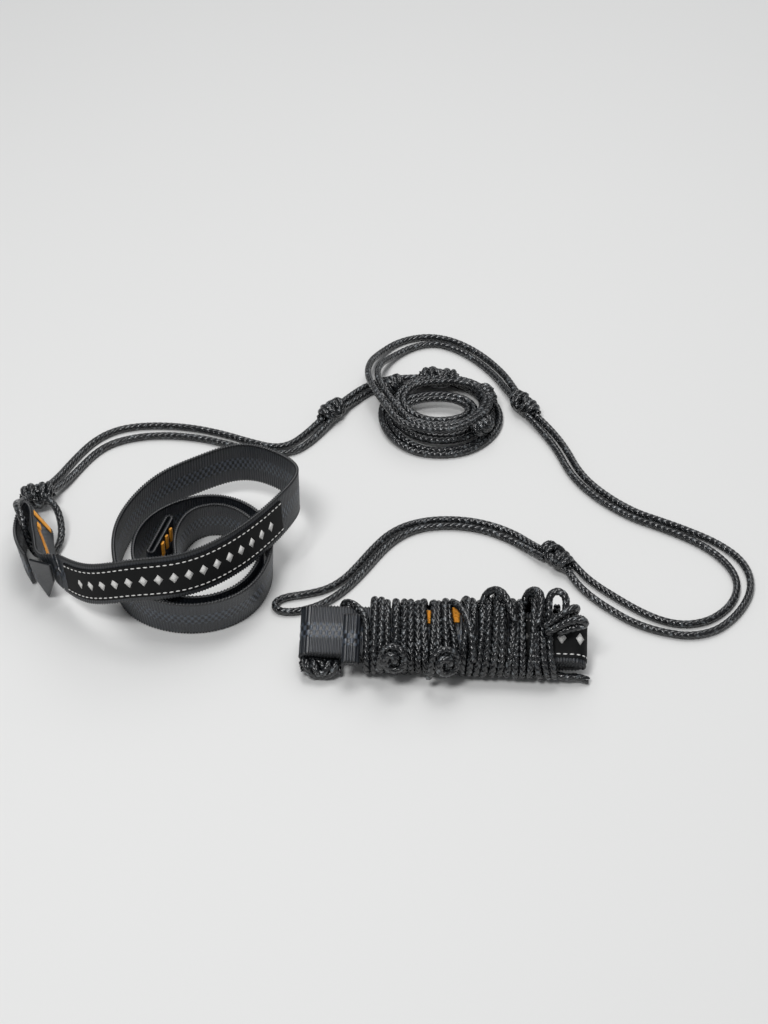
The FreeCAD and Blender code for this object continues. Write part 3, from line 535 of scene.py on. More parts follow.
def rope_material(settings):
    """Braided polyester cord: dark filaments, with glints painted on the strands' crowns as short
    light flecks.
    """
    paint, tree, skin = material("Braided polyester cord", {
        "Roughness": 0.2, "Specular IOR Level": 0.6, "Coat Weight": 0.3,
        "Coat Roughness": 0.12, "Coat IOR": 1.6})
    crown = attribute(tree, "crown")
    # Painted glints: light flecks about 2 mm apart on the strands' crowns, in place of single shiny
    # filaments turning to the light.
    painted_glint = noise(tree, 420.0, 3.0, 0.6)
    painted_glint = remap(tree, painted_glint, (0.52, 0.7))
    top = remap(tree, crown, (0.35, 1.0), (0.0, 0.85))
    share = calc(tree, "MULTIPLY", painted_glint, top)
    # Base colour: the rope's dark colour, with the painted glint colour on the flecks.
    colour = add(tree, "ShaderNodeMix",
                 {"Factor": share, 6: (*settings.dark, 1), 7: (*settings.light, 1)},
                 data_type="RGBA")
    tree.links.new(colour.outputs[2], skin.inputs["Base Color"])
    # Filaments 0.15 mm wide are drawn 0.3 mm wide, so that they show.
    grain = noise(tree, 2600.0, 2.0)
    roughen(tree, skin, grain, 0.5, 0.00012)
    return paint


def webbing_material(settings):
    """Woven polyester webbing: dark yarn with a satin, slightly blue sheen."""
    paint, tree, skin = material("Woven polyester webbing", {
        "Roughness": 0.32, "Specular IOR Level": 0.7, "Sheen Weight": 0.1,
        "Sheen Roughness": 0.35, "Sheen Tint": (*linear("#c9d3de"), 1)})
    along = attribute(tree, "along")
    across = attribute(tree, "across")
    # Warp yarns 0.45 mm wide run along the webbing, broken by the ribs.
    warp = calc(tree, "MULTIPLY", across, math.tau / WARP_PITCH)
    warp = calc(tree, "SINE", warp)
    weft = calc(tree, "MULTIPLY", along, math.tau / RIB_PITCH)
    weft = calc(tree, "COSINE", weft)
    weave = calc(tree, "MULTIPLY_ADD", weft, 1.6, warp)
    roughen(tree, skin, weave, 0.35, 0.00008)
    # The yarn's dye and pressing vary over a few millimetres.
    patch = noise(tree, 90.0, 3.0)
    # Painted shade: the weave's grooves are darkened, down to 0.2 of the tone.
    deep = remap(tree, weave, (-2.6, 1.2), (0.2, 1.0))
    # The middle stripe shows woven bricks in three rows; their satin sheen is painted in as light
    # and dark bricks, up to 3.6 times the tone.
    brick = bricks(tree, across, calc(tree, "MULTIPLY", along, math.pi / RIB_PITCH))
    brick = remap(tree, brick, (-0.6, 0.8), (0.1, 3.6))
    inside = calc(tree, "COMPARE", across, WIDTH * MM / 2, STRIPE_HALF * MM)
    deep = add(tree, "ShaderNodeMix", {0: inside, 2: deep, 3: brick},
               data_type="FLOAT")
    # Painted shade: the yarn along both selvages is darkened to 0.3 of the tone, as shade on their
    # knobbly edges.
    body = calc(tree, "COMPARE", across, WIDTH * MM / 2,
                WIDTH * MM / 2 - 0.0012)
    body = remap(tree, body, (0.0, 1.0), (0.3, 1.0))
    deep = calc(tree, "MULTIPLY", deep, body)
    tone = remap(tree, patch, (0.3, 0.7), (0.8, 1.25))
    tone = calc(tree, "MULTIPLY", tone, deep)
    colour = scaled(tree, tuple(settings.yarn), tone)
    tree.links.new(colour.outputs[0], skin.inputs["Base Color"])
    return paint


def ribbon_material(settings):
    """Woven satin ribbon: near black, smooth, with fine crosswise picks."""
    paint, tree, skin = material("Woven satin ribbon", {
        "Roughness": 0.7, "Specular IOR Level": 0.25})
    along = attribute(tree, "along")
    pick = calc(tree, "MULTIPLY", along, math.tau / PICK_PITCH)
    pick = calc(tree, "SINE", pick)
    roughen(tree, skin, pick, 0.3, 0.00004)
    patch = noise(tree, 140.0, 2.0)
    tone = remap(tree, patch, (0.0, 1.0), (0.75, 1.3))
    colour = scaled(tree, tuple(settings.ribbon), tone)
    tree.links.new(colour.outputs[0], skin.inputs["Base Color"])
    return paint


def thread_material(name, colour):
    """Spun polyester sewing thread: matt, with a fine twist."""
    paint, tree, skin = material(name, {
        "Roughness": 0.6, "Sheen Weight": 0.2})
    twist = noise(tree, 3000.0, 2.0)
    tone = remap(tree, twist, (0.3, 0.7), (0.72, 1.0))
    shade = scaled(tree, tuple(colour), tone)
    tree.links.new(shade.outputs[0], skin.inputs["Base Color"])
    roughen(tree, skin, twist, 0.4, 0.00006)
    return paint


def stock(kind, name):
    """A node tree or a material that is made once and kept by name."""
    scene = bpy.context.scene
    if kind == "tree":
        makers = {"Braided rope": braid_tree, "Stitch row": stitch_tree,
                  "Webbing ribs": webbing_tree}
        return bpy.data.node_groups.get(name) or makers[name]()
    found = bpy.data.materials.get(name)
    if found:
        return found
    sewing = scene.strap_sewing
    return {
        "Braided polyester cord": lambda: rope_material(scene.strap_rope),
        "Woven polyester webbing": lambda: webbing_material(scene.strap_webbing),
        "Woven satin ribbon": lambda: ribbon_material(scene.strap_webbing),
        "White polyester thread": lambda: thread_material(
            "White polyester thread", sewing.white),
        "Orange bartack thread": lambda: thread_material(
            "Orange bartack thread", sewing.orange),
    }[name]()


def show(name, data):
    """A new object in the scene, at the origin."""
    piece = bpy.data.objects.new(name, data)
    bpy.context.scene.collection.objects.link(piece)
    return piece


def read_mesh(carrier, name):
    """The evaluated mesh of a carrier, which is then removed."""
    graph = bpy.context.evaluated_depsgraph_get()
    mesh = bpy.data.meshes.new_from_object(
        carrier.evaluated_get(graph), preserve_all_data_layers=True, depsgraph=graph)
    bpy.data.objects.remove(carrier)
    mesh.name = name
    return mesh


def grow(name, source, tree_name, finish, **values):
    """Run a node tree on a source mesh and keep the plain mesh that it makes."""
    tree = stock("tree", tree_name)
    carrier = show(name + "_source", source)
    change = carrier.modifiers.new(tree_name, "NODES")
    change.node_group = tree
    sockets = {item.name: item.identifier for item in tree.interface.items_tree
               if item.in_out == "INPUT"}
    values["Material"] = stock("material", finish)
    for label, value in values.items():
        change[sockets[label.replace("_", " ")]] = value
    mesh = read_mesh(carrier, name)
    return show(name, mesh)


def merged(name, pieces):
    """One object from several meshes at the origin."""
    mesh = bmesh.new()
    finishes = []
    for piece in pieces:
        mesh.from_mesh(piece.data)
        finishes = finishes or list(piece.data.materials)
        bpy.data.objects.remove(piece)
    data = bpy.data.meshes.new(name)
    mesh.to_mesh(data)
    mesh.free()
    for finish in finishes:
        data.materials.append(finish)
    return show(name, data)


def route_line(name, points):
    """Points read along the smooth line that a rope's route controls."""
    curve = bpy.data.curves.new(name, "CURVE")
    curve.dimensions = "3D"
    curve.resolution_u = 8
    spline = curve.splines.new("NURBS")
    spline.points.add(len(points) - 1)
    for knob, point in zip(spline.points, points):
        knob.co = (*point, 1)
    spline.order_u = 3
    spline.use_endpoint_u = True
    mesh = read_mesh(show(name + "_route", curve), name)
    line = [vertex.co.copy() for vertex in mesh.vertices]
    bpy.data.meshes.remove(mesh)
    return line


def line_mesh(name, line, faces=None):
    """A mesh of one open line, with the way its cloth faces where it is sewn."""
    mesh = bpy.data.meshes.new(name)
    mesh.from_pydata(line, [(i, i + 1) for i in range(len(line) - 1)], [])
    if faces:
        layer = mesh.attributes.new("face", "FLOAT_VECTOR", "POINT")
        for item, face in zip(layer.data, faces):
            item.vector = face
    return mesh


def braid(name, line, step=0.001, sides=6):
    """A braided rope along a line."""
    rope = bpy.context.scene.strap_rope
    return grow(name, line_mesh(name, line), "Braided rope", "Braided polyester cord",
                Diameter=rope.diameter, Pitch=rope.pitch, Strand_Width=rope.strand_width,
                Strand_Thickness=rope.strand_thickness, Step=step, Sides=sides)


def knot_lines(name, middle, heading, length, half):
    """The lines of a knot: a doubled figure-eight, or a round knot on the hank's front."""
    ahead = Vector(heading).normalized()
    up = (Vector((0, 0, 1)) - ahead * ahead.z).normalized()
    left = up.cross(ahead)
    centre = Vector(middle)
    if "front_knot" in name:
        size = half / RING_HALF
        return [route_line(name, [(centre + (ahead * x + left * y + up * (z - 1.5)) * size)
                                  * MM for x, y, z in RING_KNOT])]
    stretch = length / FIGURE_LENGTH
    swell = half / FIGURE_HALF
    spots = []
    outs = []
    for (x, y, z), (_, across, above) in FIGURE_EIGHT:
        spots.append(centre + ahead * x * stretch + left * y * swell
                     + up * (z - 0.8) * swell)
        outs.append((left * across + up * above).normalized())
    lines = []
    for side in (1, -1):
        points = []
        for i, (spot, out) in enumerate(zip(spots, outs)):
            way = (spots[min(i + 1, len(spots) - 1)] - spots[max(i - 1, 0)]).normalized()
            shift = way.cross(out).normalized() * side * KNOT_SPREAD
            point = spot + shift
            point.z = max(point.z, ROPE_LIFT)
            points.append(point * MM)
        lines.append(route_line(name, points))
    return lines


def tie_knot(name, middle, heading, length, half, body):
    """A knot of doubled rope that stands for its own node."""
    lines = knot_lines(name, middle, heading, length, half)
    pieces = [braid(name + "_%d" % i, line) for i, line in enumerate(lines)]
    knot = merged(name + "_braid", pieces)
    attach(knot, body)
    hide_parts(name)
    return knot


def lay_cord(name, points, nodes, body,
             step=0.001, sides=6):
    """A free rope along its route."""
    line = route_line(name, points)
    piece = braid(name, line, step, sides)
    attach(piece, body)
    if nodes:
        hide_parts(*nodes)
    return piece


def coil_points(start_angle, end_angle, side):
    """A coil's turns, clockwise from above; side is +1 for the pair's outer rope."""
    last = len(COIL_TURNS) - 1
    sweep = start_angle - end_angle + 360 * last
    rng = random.Random(7)
    waver = [rng.uniform(-0.6, 0.6) for _ in range(60)]
    points = []
    for i in range(1, int((sweep - 16) // COIL_STEP) + 1):
        gone = i * COIL_STEP
        angle = math.radians(start_angle - gone)
        low = min(int(gone / 360.0), last)
        high = min(low + 1, last)
        share = min(max((gone / 360.0 - low - 0.55) / 0.45, 0.0), 1.0)
        share = smooth(share)
        x, y, radius, flat, z = [a + (b - a) * share
                                 for a, b in zip(COIL_TURNS[low], COIL_TURNS[high])]
        leave = min(max(1 - (sweep - gone) / COIL_LEAVING, 0.0), 1.0)
        leave = smooth(leave)
        x += (COIL_LEAVE[0] - x) * leave
        y += (COIL_LEAVE[1] - y) * leave
        flat += (1 - flat) * leave
        radius += (COIL_LEAVE[2] - radius) * leave + waver[i] + max(0, 5 - gone / 12)
        across = math.cos(angle) * (radius + side * PAIR_HALF)
        deep = math.sin(angle) * (radius * flat + side * PAIR_HALF)
        points.append((x + across, y + deep, z + leave * 3))
    return points


def hank_place(u, v, w):
    """A hank point in metres, in the model's frame."""
    turn = Matrix.Rotation(math.radians(HANK_YAW), 3, "Z") @ Matrix.Rotation(
        math.radians(HANK_TILT), 3, "X")
    return (Vector(HANK_MIDDLE) + turn @ Vector((u, v, w))) * MM


def wrap_points():
    """Every pass of the rope round the rolled webbing, uneven and crossing here and there."""
    rng = random.Random(23)
    swell = [rng.uniform(-0.6, 0.9) for _ in range(WRAP_PASSES + 2)]
    drift = [rng.uniform(-0.5, 0.5) for _ in range(WRAP_PASSES + 2)]
    lean = [rng.uniform(-1.0, 1.0) for _ in range(WRAP_PASSES + 2)]
    points = []
    for i in range(-1, WRAP_PASSES * WRAP_STEPS + 1):
        turn = i / WRAP_STEPS
        low = max(int(turn), 0)
        share = max(turn, 0) - low
        extra, shift, slant = [pair[low] * (1 - share) + pair[low + 1] * share
                               for pair in (swell, drift, lean)]
        angle = math.tau * turn
        top = max(0.0, math.cos(angle - math.radians(55)))
        bulge = HUMPS.get(low, 0) * top ** 2
        # The right half is wound less neatly, so its passes lean over one another.
        loose = min(max((turn - 10) / 4, 0.3), 1.0)
        u = WRAP_START + WRAP_PITCH * turn + shift
        u += slant * loose * 3.0 * math.cos(angle - math.radians(65))
        bulge += abs(slant) * loose * 1.2 * top
        for place, push in PARTINGS:
            apart = u - place
            u += (math.copysign(push * math.exp(-abs(apart) / 6), apart)
                  * max(0.0, math.cos(angle - math.radians(50))) ** 4)
        u = min(max(u, WRAP_START), WRAP_START + WRAP_PITCH * WRAP_PASSES)
        # The first pass comes over the back edge left of the folded end.
        early = min(max(1 - turn / 0.25, 0.0), 1.0)
        u += (FIRST_PASS - WRAP_START) * smooth(early)
        cosine, sine = math.cos(angle), math.sin(angle)
        bulge -= early * FIRST_SINK
        v = (WRAP_HALF[0] + extra + bulge) * math.copysign(abs(cosine) ** 0.8, cosine)
        w = (WRAP_HALF[1] + extra * 0.6 + bulge) * math.copysign(abs(sine) ** 0.8, sine)
        point = hank_place(u, v, w)
        point.z = max(point.z, ROPE_LIFT * MM)
        points.append(point)
    return points


def spline_bends(marks, points):
    """Second derivatives of the smooth cubic line through points."""
    count = len(points)
    upper = [0.0] * count
    bends = [Vector((0, 0, 0))] * count
    for i in range(1, count - 1):
        before = marks[i] - marks[i - 1]
        after = marks[i + 1] - marks[i]
        pivot = 2 * (before + after) - before * upper[i - 1]
        upper[i] = after / pivot
        jump = (points[i + 1] - points[i]) / after - (points[i] - points[i - 1]) / before
        bends[i] = (jump * 6 - bends[i - 1] * before) / pivot
    for i in range(count - 2, 0, -1):
        bends[i] = bends[i] - bends[i + 1] * upper[i]
    return bends


class Band:
    """A strip of webbing in space, from pairs of points on its two selvages."""

    def __init__(self, pairs):
        self.edges = [[Vector(pair[i]) for pair in pairs] for i in (0, 1)]
        self.marks = [0.0]
        for one, two in zip(self.edges[0], self.edges[0][1:]):
            self.marks.append(self.marks[-1] + (two - one).length)
        self.bends = [spline_bends(self.marks, edge) for edge in self.edges]
        self.length = self.marks[-1]

    def edge(self, which, along):
        """A selvage point at a place along."""
        marks = self.marks
        i = 0
        while i < len(marks) - 2 and marks[i + 1] < along:
            i += 1
        gap = marks[i + 1] - marks[i]
        two = (along - marks[i]) / gap
        one = 1 - two
        points, bends = self.edges[which], self.bends[which]
        return (points[i] * one + points[i + 1] * two
                + (bends[i] * (one ** 3 - one) + bends[i + 1] * (two ** 3 - two))
                * gap * gap / 6)

    def frame(self, along):
        """The lower selvage point, the rise and the inward direction."""
        low = self.edge(0, along)
        rise = (self.edge(1, along) - low).normalized()
        heading = self.edge(0, along + 0.05) - self.edge(0, along - 0.05)
        return low, rise, rise.cross(heading).normalized()


def spiral_band():
    """The laid-out strap's webbing."""
    pairs = []
    for i, (x, y, z, lean) in enumerate(SPIRAL):
        before = SPIRAL[max(i - 1, 0)]
        after = SPIRAL[min(i + 1, len(SPIRAL) - 1)]
        heading = Vector((after[0] - before[0], after[1] - before[1], 0)).normalized()
        inward = Vector((-heading.y, heading.x, 0))
        angle = math.radians(lean)
        rise = Vector((0, 0, math.cos(angle))) + inward * math.sin(angle)
        low = Vector((x, y, z))
        pairs.append((low, low + rise * WIDTH))
    return Band(pairs)


def solid_mesh(name, points, faces, bevel=0.0):
    """A mesh with its faces turned outwards and, where asked, its edges rounded."""
    mesh = bpy.data.meshes.new(name)
    mesh.from_pydata(points, [], faces)
    work = bmesh.new()
    work.from_mesh(mesh)
    bmesh.ops.recalc_face_normals(work, faces=work.faces)
    if bevel:
        bmesh.ops.bevel(work, geom=list(work.edges), offset=bevel, segments=3,
                        affect="EDGES", profile=0.6)
    work.to_mesh(mesh)
    work.free()
    return mesh


def strip_mesh(name, frames, marks, thick, low, high, depth=0.0, closed=False,
               columns=21):
    """A closed strip of cloth; each frame gives a foot, a rise and an inward direction."""
    half = thick / 2
    section = []
    for i in range(columns + 1):
        section.append((low + 0.45 + (high - low - 0.9) * i / columns, -half))
    section += [(high - 0.08, -half * 0.7), (high, 0.0), (high - 0.08, half * 0.7)]
    for i in range(columns, -1, -1):
        section.append((low + 0.45 + (high - low - 0.9) * i / columns, half))
    section += [(low + 0.08, half * 0.7), (low, 0.0), (low + 0.08, -half * 0.7)]
    size = len(section)
    points, along, across = [], [], []
    for (foot, rise, inward), mark in zip(frames, marks):
        for height, off in section:
            points.append((foot + rise * height + inward * (off + depth)) * MM)
            along.append(mark * MM)
            across.append(height * MM)
    faces = []
    last = len(frames) if closed else len(frames) - 1
    for i in range(last):
        for j in range(size):
            one, two = i * size, ((i + 1) % len(frames)) * size
            faces.append((one + j, one + (j + 1) % size, two + (j + 1) % size, two + j))
    if not closed:
        faces.append(tuple(range(size - 1, -1, -1)))
        faces.append(tuple((len(frames) - 1) * size + j for j in range(size)))
    mesh = solid_mesh(name, points, faces)
    for label, values in (("along", along), ("across", across)):
        layer = mesh.attributes.new(label, "FLOAT", "POINT")
        layer.data.foreach_set("value", values)
    return mesh


def spaced(start, end, step):
    """Evenly spaced places from start to end, about a step apart."""
    count = max(2, int(round((end - start) / step)) + 1)
    return [start + (end - start) * i / (count - 1) for i in range(count)]


def weave(name, mesh, body, *nodes):
    """Webbing with its ribs, riding on a body and standing for its nodes."""
    cloth = bpy.context.scene.strap_webbing
    piece = grow(name, mesh, "Webbing ribs", "Woven polyester webbing",
                 Rib_Pitch=cloth.rib_pitch, Rib_Height=cloth.rib_height,
                 Brick_Height=cloth.brick_height)
    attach(piece, body)
    if nodes:
        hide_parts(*nodes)
    return piece


def band_strip(name, band, start, end, step, low, high, thick, depth=0.0):
    """A strip mesh over part of a band."""
    marks = spaced(start, end, step)
    return strip_mesh(name, [band.frame(mark) for mark in marks], marks, thick, low, high,
                      depth)


def ring_frames(ends, radius, step):
    """Frames round a flat standing ring, and their places along it."""
    one, two = [Vector((x, y, 0)) for x, y in ends]
    heading = (two - one).normalized()
    side = Vector((heading.y, -heading.x, 0))
    run = (two - one).length
    arc = math.pi * radius
    whole = 2 * run + 2 * arc
    count = int(whole / step)
    frames, marks = [], []
    for i in range(count):
        mark = whole * i / count
        if mark < run:
            spot, out = one + side * radius + heading * mark, side
        elif mark < run + arc:
            turn = (mark - run) / radius
            out = side * math.cos(turn) + heading * math.sin(turn)
            spot = two + out * radius
        elif mark < 2 * run + arc:
            spot, out = two - side * radius - heading * (mark - run - arc), -side
        else:
            turn = (mark - 2 * run - arc) / radius
            out = -side * math.cos(turn) - heading * math.sin(turn)
            spot = one + out * radius
        frames.append((spot, Vector((0, 0, 1)), -out))
        marks.append(mark)
    return frames, marks


def roll_line():
    """The roll's centre line in u and w, from the outermost layer inwards."""
    half = ROLL_PITCH / 2
    lead = ROLL_OUTER + half
    line = [(ROLL_RIGHT + math.cos(math.radians(a)) * lead,
             -half + math.sin(math.radians(a)) * lead) for a in range(ROLL_CUT_ANGLE, 91, 8)]
    levels = [ROLL_OUTER - ROLL_PITCH * (i // 2) for i in range(ROLL_LAYERS)]
    side = 1
    for i, level in enumerate(levels):
        height = side * level
        start, end = (ROLL_RIGHT, ROLL_LEFT) if side > 0 else (ROLL_LEFT, ROLL_RIGHT)
        if i == len(levels) - 1:
            end = ROLL_INNER_END
        line += [(u, height) for u in spaced(min(start, end), max(start, end), 2.0)][
            ::1 if end > start else -1]
        if i < len(levels) - 1:
            following = -side * levels[i + 1]
            middle = (height + following) / 2
            radius = abs(height - following) / 2
            way = -1 if side > 0 else 1
            first = 90 if height > following else -90
            for k in range(1, 12):
                angle = math.radians(first - k * 15 * (1 if height > following else -1))
                line.append((end + way * abs(math.cos(angle)) * radius,
                             middle + math.sin(angle) * radius))
        side = -side
    return line


def hank_frames(line, low_v, step):
    """Frames along a line in u and w, with the cloth's width along v."""
    spots = [Vector((u, 0, w)) for u, w in line]
    reach = [0.0]
    for one, two in zip(spots, spots[1:]):
        reach.append(reach[-1] + (two - one).length)
    rise = (hank_place(0, 1, 0) - hank_place(0, 0, 0)).normalized()
    frames, marks = [], []
    i = 0
    for mark in spaced(0.0, reach[-1], step):
        while i < len(reach) - 2 and reach[i + 1] < mark:
            i += 1
        share = (mark - reach[i]) / max(reach[i + 1] - reach[i], 1e-9)
        spot = spots[i].lerp(spots[i + 1], share)
        before = spots[max(i - 1, 0)]
        after = spots[min(i + 2, len(spots) - 1)]
        heading = hank_place(*after) - hank_place(*before)
        foot = hank_place(spot.x, low_v, spot.z) / MM
        frames.append((foot, rise, rise.cross(heading).normalized()))
        marks.append(mark)
    return frames, marks


def cover_line(lift, left, last_angle):
    """The line of a skin over the roll's outermost layer, lifted off its face."""
    half = ROLL_PITCH / 2
    radius = ROLL_OUTER + half + THICK / 2 + lift
    line = [(u, radius - half) for u in spaced(left, ROLL_RIGHT, 2.0)]
    for k in range(1, 13):
        angle = math.radians(90 + (last_angle - 90) * k / 12)
        line.append((ROLL_RIGHT + math.cos(angle) * radius,
                     -half + math.sin(angle) * radius))
    return line


def finish_skin(name, mesh, finish, body, slot, *nodes):
    """A plain cloth piece with its finish, its body and its nodes."""
    mesh.materials.clear()
    mesh.materials.append(stock("material", finish))
    mesh.shade_smooth()
    piece = show(name, mesh)
    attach(piece, body)
    if nodes:
        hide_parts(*nodes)
    return piece


def sewn(name, lines, body, slot, finish, nodes=(), **values):
    """Stitches along lines of point and facing, as one piece."""
    pieces = []
    for i, line in enumerate(lines):
        source = line_mesh(name, [spot for spot, _ in line], [face for _, face in line])
        pieces.append(grow("%s_row_%d" % (name, i), source, "Stitch row", finish,
                           Seed=i + 3, **values))
    piece = merged(name, pieces)
    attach(piece, body)
    if nodes:
        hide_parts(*nodes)
    return piece


def band_line(band, start, end, height, depth, step=1.0):
    """Points and facings along a band, on its outer face."""
    line = []
    for mark in spaced(start, end, step):
        foot, rise, inward = band.frame(mark)
        line.append(((foot + rise * height + inward * depth) * MM, -inward))
    return line


def band_bar(band, place, low, high, depth, slant=0.0):
    """Points and facings up a band, on its outer face, for a sewn bar."""
    line = []
    for height in spaced(low, high, 1.0):
        share = (height - low) / (high - low) - 0.5
        foot, rise, inward = band.frame(place + slant * share)
        line.append(((foot + rise * height + inward * depth) * MM, -inward))
    return line


def hank_bar(u, v_low, v_high, w):
    """Points and facings across the roll's upper face, for a sewn bar."""
    face = (hank_place(0, 0, 1) - hank_place(0, 0, 0)).normalized()
    return [(hank_place(u, v, w), face) for v in spaced(v_low, v_high, 1.0)]


class STRAPS_OT_stage(bpy.types.Operator):
    """Pale floor, soft lights and the camera"""
    bl_idname = "straps.stage"
    bl_label = "Stage"

    def execute(self, context):
        stage = context.scene.strap_stage
        floor = bpy.data.meshes.new("studio_floor")
        reach, drop = 4.0, -0.0003
        floor.from_pydata([(-reach, -reach, drop), (reach, -reach, drop),
                           (reach, reach, drop), (-reach, reach, drop)], [],
                          [(0, 1, 2, 3)])
        paint, tree, skin = material("Painted studio floor", {
            "Roughness": 0.9, "Specular IOR Level": 0.1})
        # Matt paint, with a trace of unevenness.
        cloud = noise(tree, 3.0)
        tone = remap(tree, cloud, (0.0, 1.0), (0.99, 1.01))
        shade = scaled(tree, tuple(stage.floor), tone)
        tree.links.new(shade.outputs[0], skin.inputs["Base Color"])
        floor.materials.append(paint)
        show("studio_floor", floor)

        world = bpy.data.worlds.new("Studio air")
        world.use_nodes = True
        air = world.node_tree.nodes["Background"]
        air.inputs["Color"].default_value = (*linear("#f2f4f7"), 1)
        air.inputs["Strength"].default_value = 0.26
        context.scene.world = world
        context.scene.view_settings.view_transform = "Standard"

        target = Vector((0.045, 0.060, 0.0))
        for name, spot, size, power in (
                ("key_light", (-0.35, -0.75, 1.45), 0.4, 12.2),
                ("back_light", (0.35, 1.1, 1.4), 1.3, 7.9),
                ("overhead_light", (0.05, 0.25, 1.3), 0.6, 5.2)):
            light = bpy.data.lights.new(name, "AREA")
            light.size = size
            light.energy = power
            lamp = show(name, light)
            lamp.location = spot
            lamp.rotation_euler = (target - Vector(spot)).to_track_quat(
                "-Z", "Y").to_euler()

        lens = bpy.data.cameras.new("camera")
        lens.lens = 73.5
        lens.sensor_width = 36.0
        camera = show("camera", lens)
        back = Vector((0, -math.cos(stage.elevation), math.sin(stage.elevation)))
        camera.location = target + back * stage.distance
        camera.rotation_euler = (-back).to_track_quat("-Z", "Y").to_euler()
        context.scene.camera = camera
        return {"FINISHED"}


class STRAPS_OT_rope_laid_out(bpy.types.Operator):
    """Knots and ropes of the laid-out strap"""
    bl_idname = "straps.rope_laid_out"
    bl_label = "Laid-out rope"

    def execute(self, context):
        knots = {name: tie_knot(name, *shape, LAID_OUT)
                 for name, shape in KNOTS.items()}
        lay_cord("rope_first_loop_back", metres(FIRST_LOOP_BACK),
                 ["rope_a_first_loop_back"], LAID_OUT)
        lay_cord("rope_first_loop_front", metres(FIRST_LOOP_FRONT),
                 ["rope_a_first_loop_front"], LAID_OUT)
        outer = LEAD_BACK + coil_points(104, -122, 1) + TOP_LOOP_OUTER
        inner = LEAD_FRONT + coil_points(114, -110, -1) + TOP_LOOP_INNER
        lay_cord("rope_coil_outer", metres(outer),
                 ["rope_a_lead_back", "rope_a_top_loop_outer", "rope_a_coil"], LAID_OUT)
        lay_cord("rope_coil_inner", metres(inner),
                 ["rope_a_lead_front", "rope_a_top_loop_inner"], LAID_OUT)
        lay_cord("rope_side_loop_outer", metres(SIDE_LOOP_OUTER),
                 ["rope_a_side_loop_outer"], LAID_OUT)
        lay_cord("rope_side_loop_inner", metres(SIDE_LOOP_INNER),
                 ["rope_a_side_loop_inner"], LAID_OUT)
        lay_cord("rope_end_loop", metres(END_LOOP), ["rope_a_end_loop"], LAID_OUT)
        lay_cord("rope_eye_bight", metres(EYE_BIGHT), ["rope_a_eye_bight"],
                 LAID_OUT)
        return {"FINISHED"}


class STRAPS_OT_rope_hank(bpy.types.Operator):
    """Knots, wraps and bights of the wound strap"""
    bl_idname = "straps.rope_hank"
    bl_label = "Hank rope"

    def execute(self, context):
        turn = hank_place(0, 0, 0)
        for name, (middle, heading, length, half) in HANK_KNOTS.items():
            spot = hank_place(*middle) / MM
            way = (hank_place(*heading) - turn).normalized()
            tie_knot(name, tuple(spot), tuple(way), length, half, HANK)
        lay_cord("rope_wraps", wrap_points(), ["rope_b_wraps"], HANK,
                 step=0.00125, sides=5)
        lay_cord("rope_front_bight", [hank_place(*p) for p in FRONT_BIGHT],
                 ["rope_b_front_bight"], HANK)
        for kind, bights, lengths in (("top", TOP_BIGHTS, (0.0303, 0.0312)),
                                      ("end", END_BIGHTS, (0.034, 0.0355, 0.0352))):
            for i, (bight, length) in enumerate(zip(bights, lengths), 1):
                lay_cord("rope_%s_bight_%d" % (kind, i), [hank_place(*p) for p in bight],
                         ["rope_b_%s_bight_%d" % (kind, i)], HANK)
        lay_cord("rope_tail", [hank_place(*p) for p in ROPE_TAIL],
                 ["rope_b_tail"], HANK)
        return {"FINISHED"}


class STRAPS_OT_webbing_laid_out(bpy.types.Operator):
    """Spiral, eyes and cut end of the laid-out webbing"""
    bl_idname = "straps.webbing_laid_out"
    bl_label = "Laid-out webbing"

    def execute(self, context):
        band = spiral_band()
        weave("webbing_spiral",
              band_strip("webbing_spiral", band, 0, band.length, 0.5, 0, WIDTH, THICK),
              LAID_OUT, "webbing_a_spiral")
        eye = Band(OUTER_EYE)
        weave("webbing_outer_eye",
              band_strip("webbing_outer_eye", eye, 0, eye.length, 0.3, 0, WIDTH, THICK),
              LAID_OUT, "webbing_a_outer_eye")
        frames, marks = ring_frames(INNER_EYE_ENDS, INNER_EYE_RADIUS, 0.3)
        weave("webbing_inner_eye",
              strip_mesh("webbing_inner_eye", frames, marks, THICK, 0, WIDTH,
                         closed=True),
              LAID_OUT, "webbing_a_inner_eye")
        corners = [Vector(point) for point in FLAP]
        normal = (corners[1] - corners[0]).cross(corners[3] - corners[0]).normalized()
        flat = [corner - normal * normal.dot(corner - corners[0]) for corner in corners]
        count = len(flat)
        near = [corner * MM for corner in flat]
        far = [(corner + normal * FLAP_THICK) * MM for corner in flat]
        faces = [tuple(range(count - 1, -1, -1)), tuple(range(count, 2 * count))]
        faces += [(i, (i + 1) % count, count + (i + 1) % count, count + i)
                  for i in range(count)]
        mesh = solid_mesh("webbing_cut_end", near + far, faces, bevel=0.45 * MM)
        ahead = (flat[3] - flat[0]).normalized()
        side = normal.cross(ahead)
        for label, way in (("along", ahead), ("across", side)):
            layer = mesh.attributes.new(label, "FLOAT", "POINT")
            for item, vertex in zip(layer.data, mesh.vertices):
                item.value = (vertex.co - near[0]).dot(way)
        finish_skin("webbing_cut_end", mesh, "Woven polyester webbing", LAID_OUT,
                    "webbing", "webbing_a_end_flap")
        return {"FINISHED"}


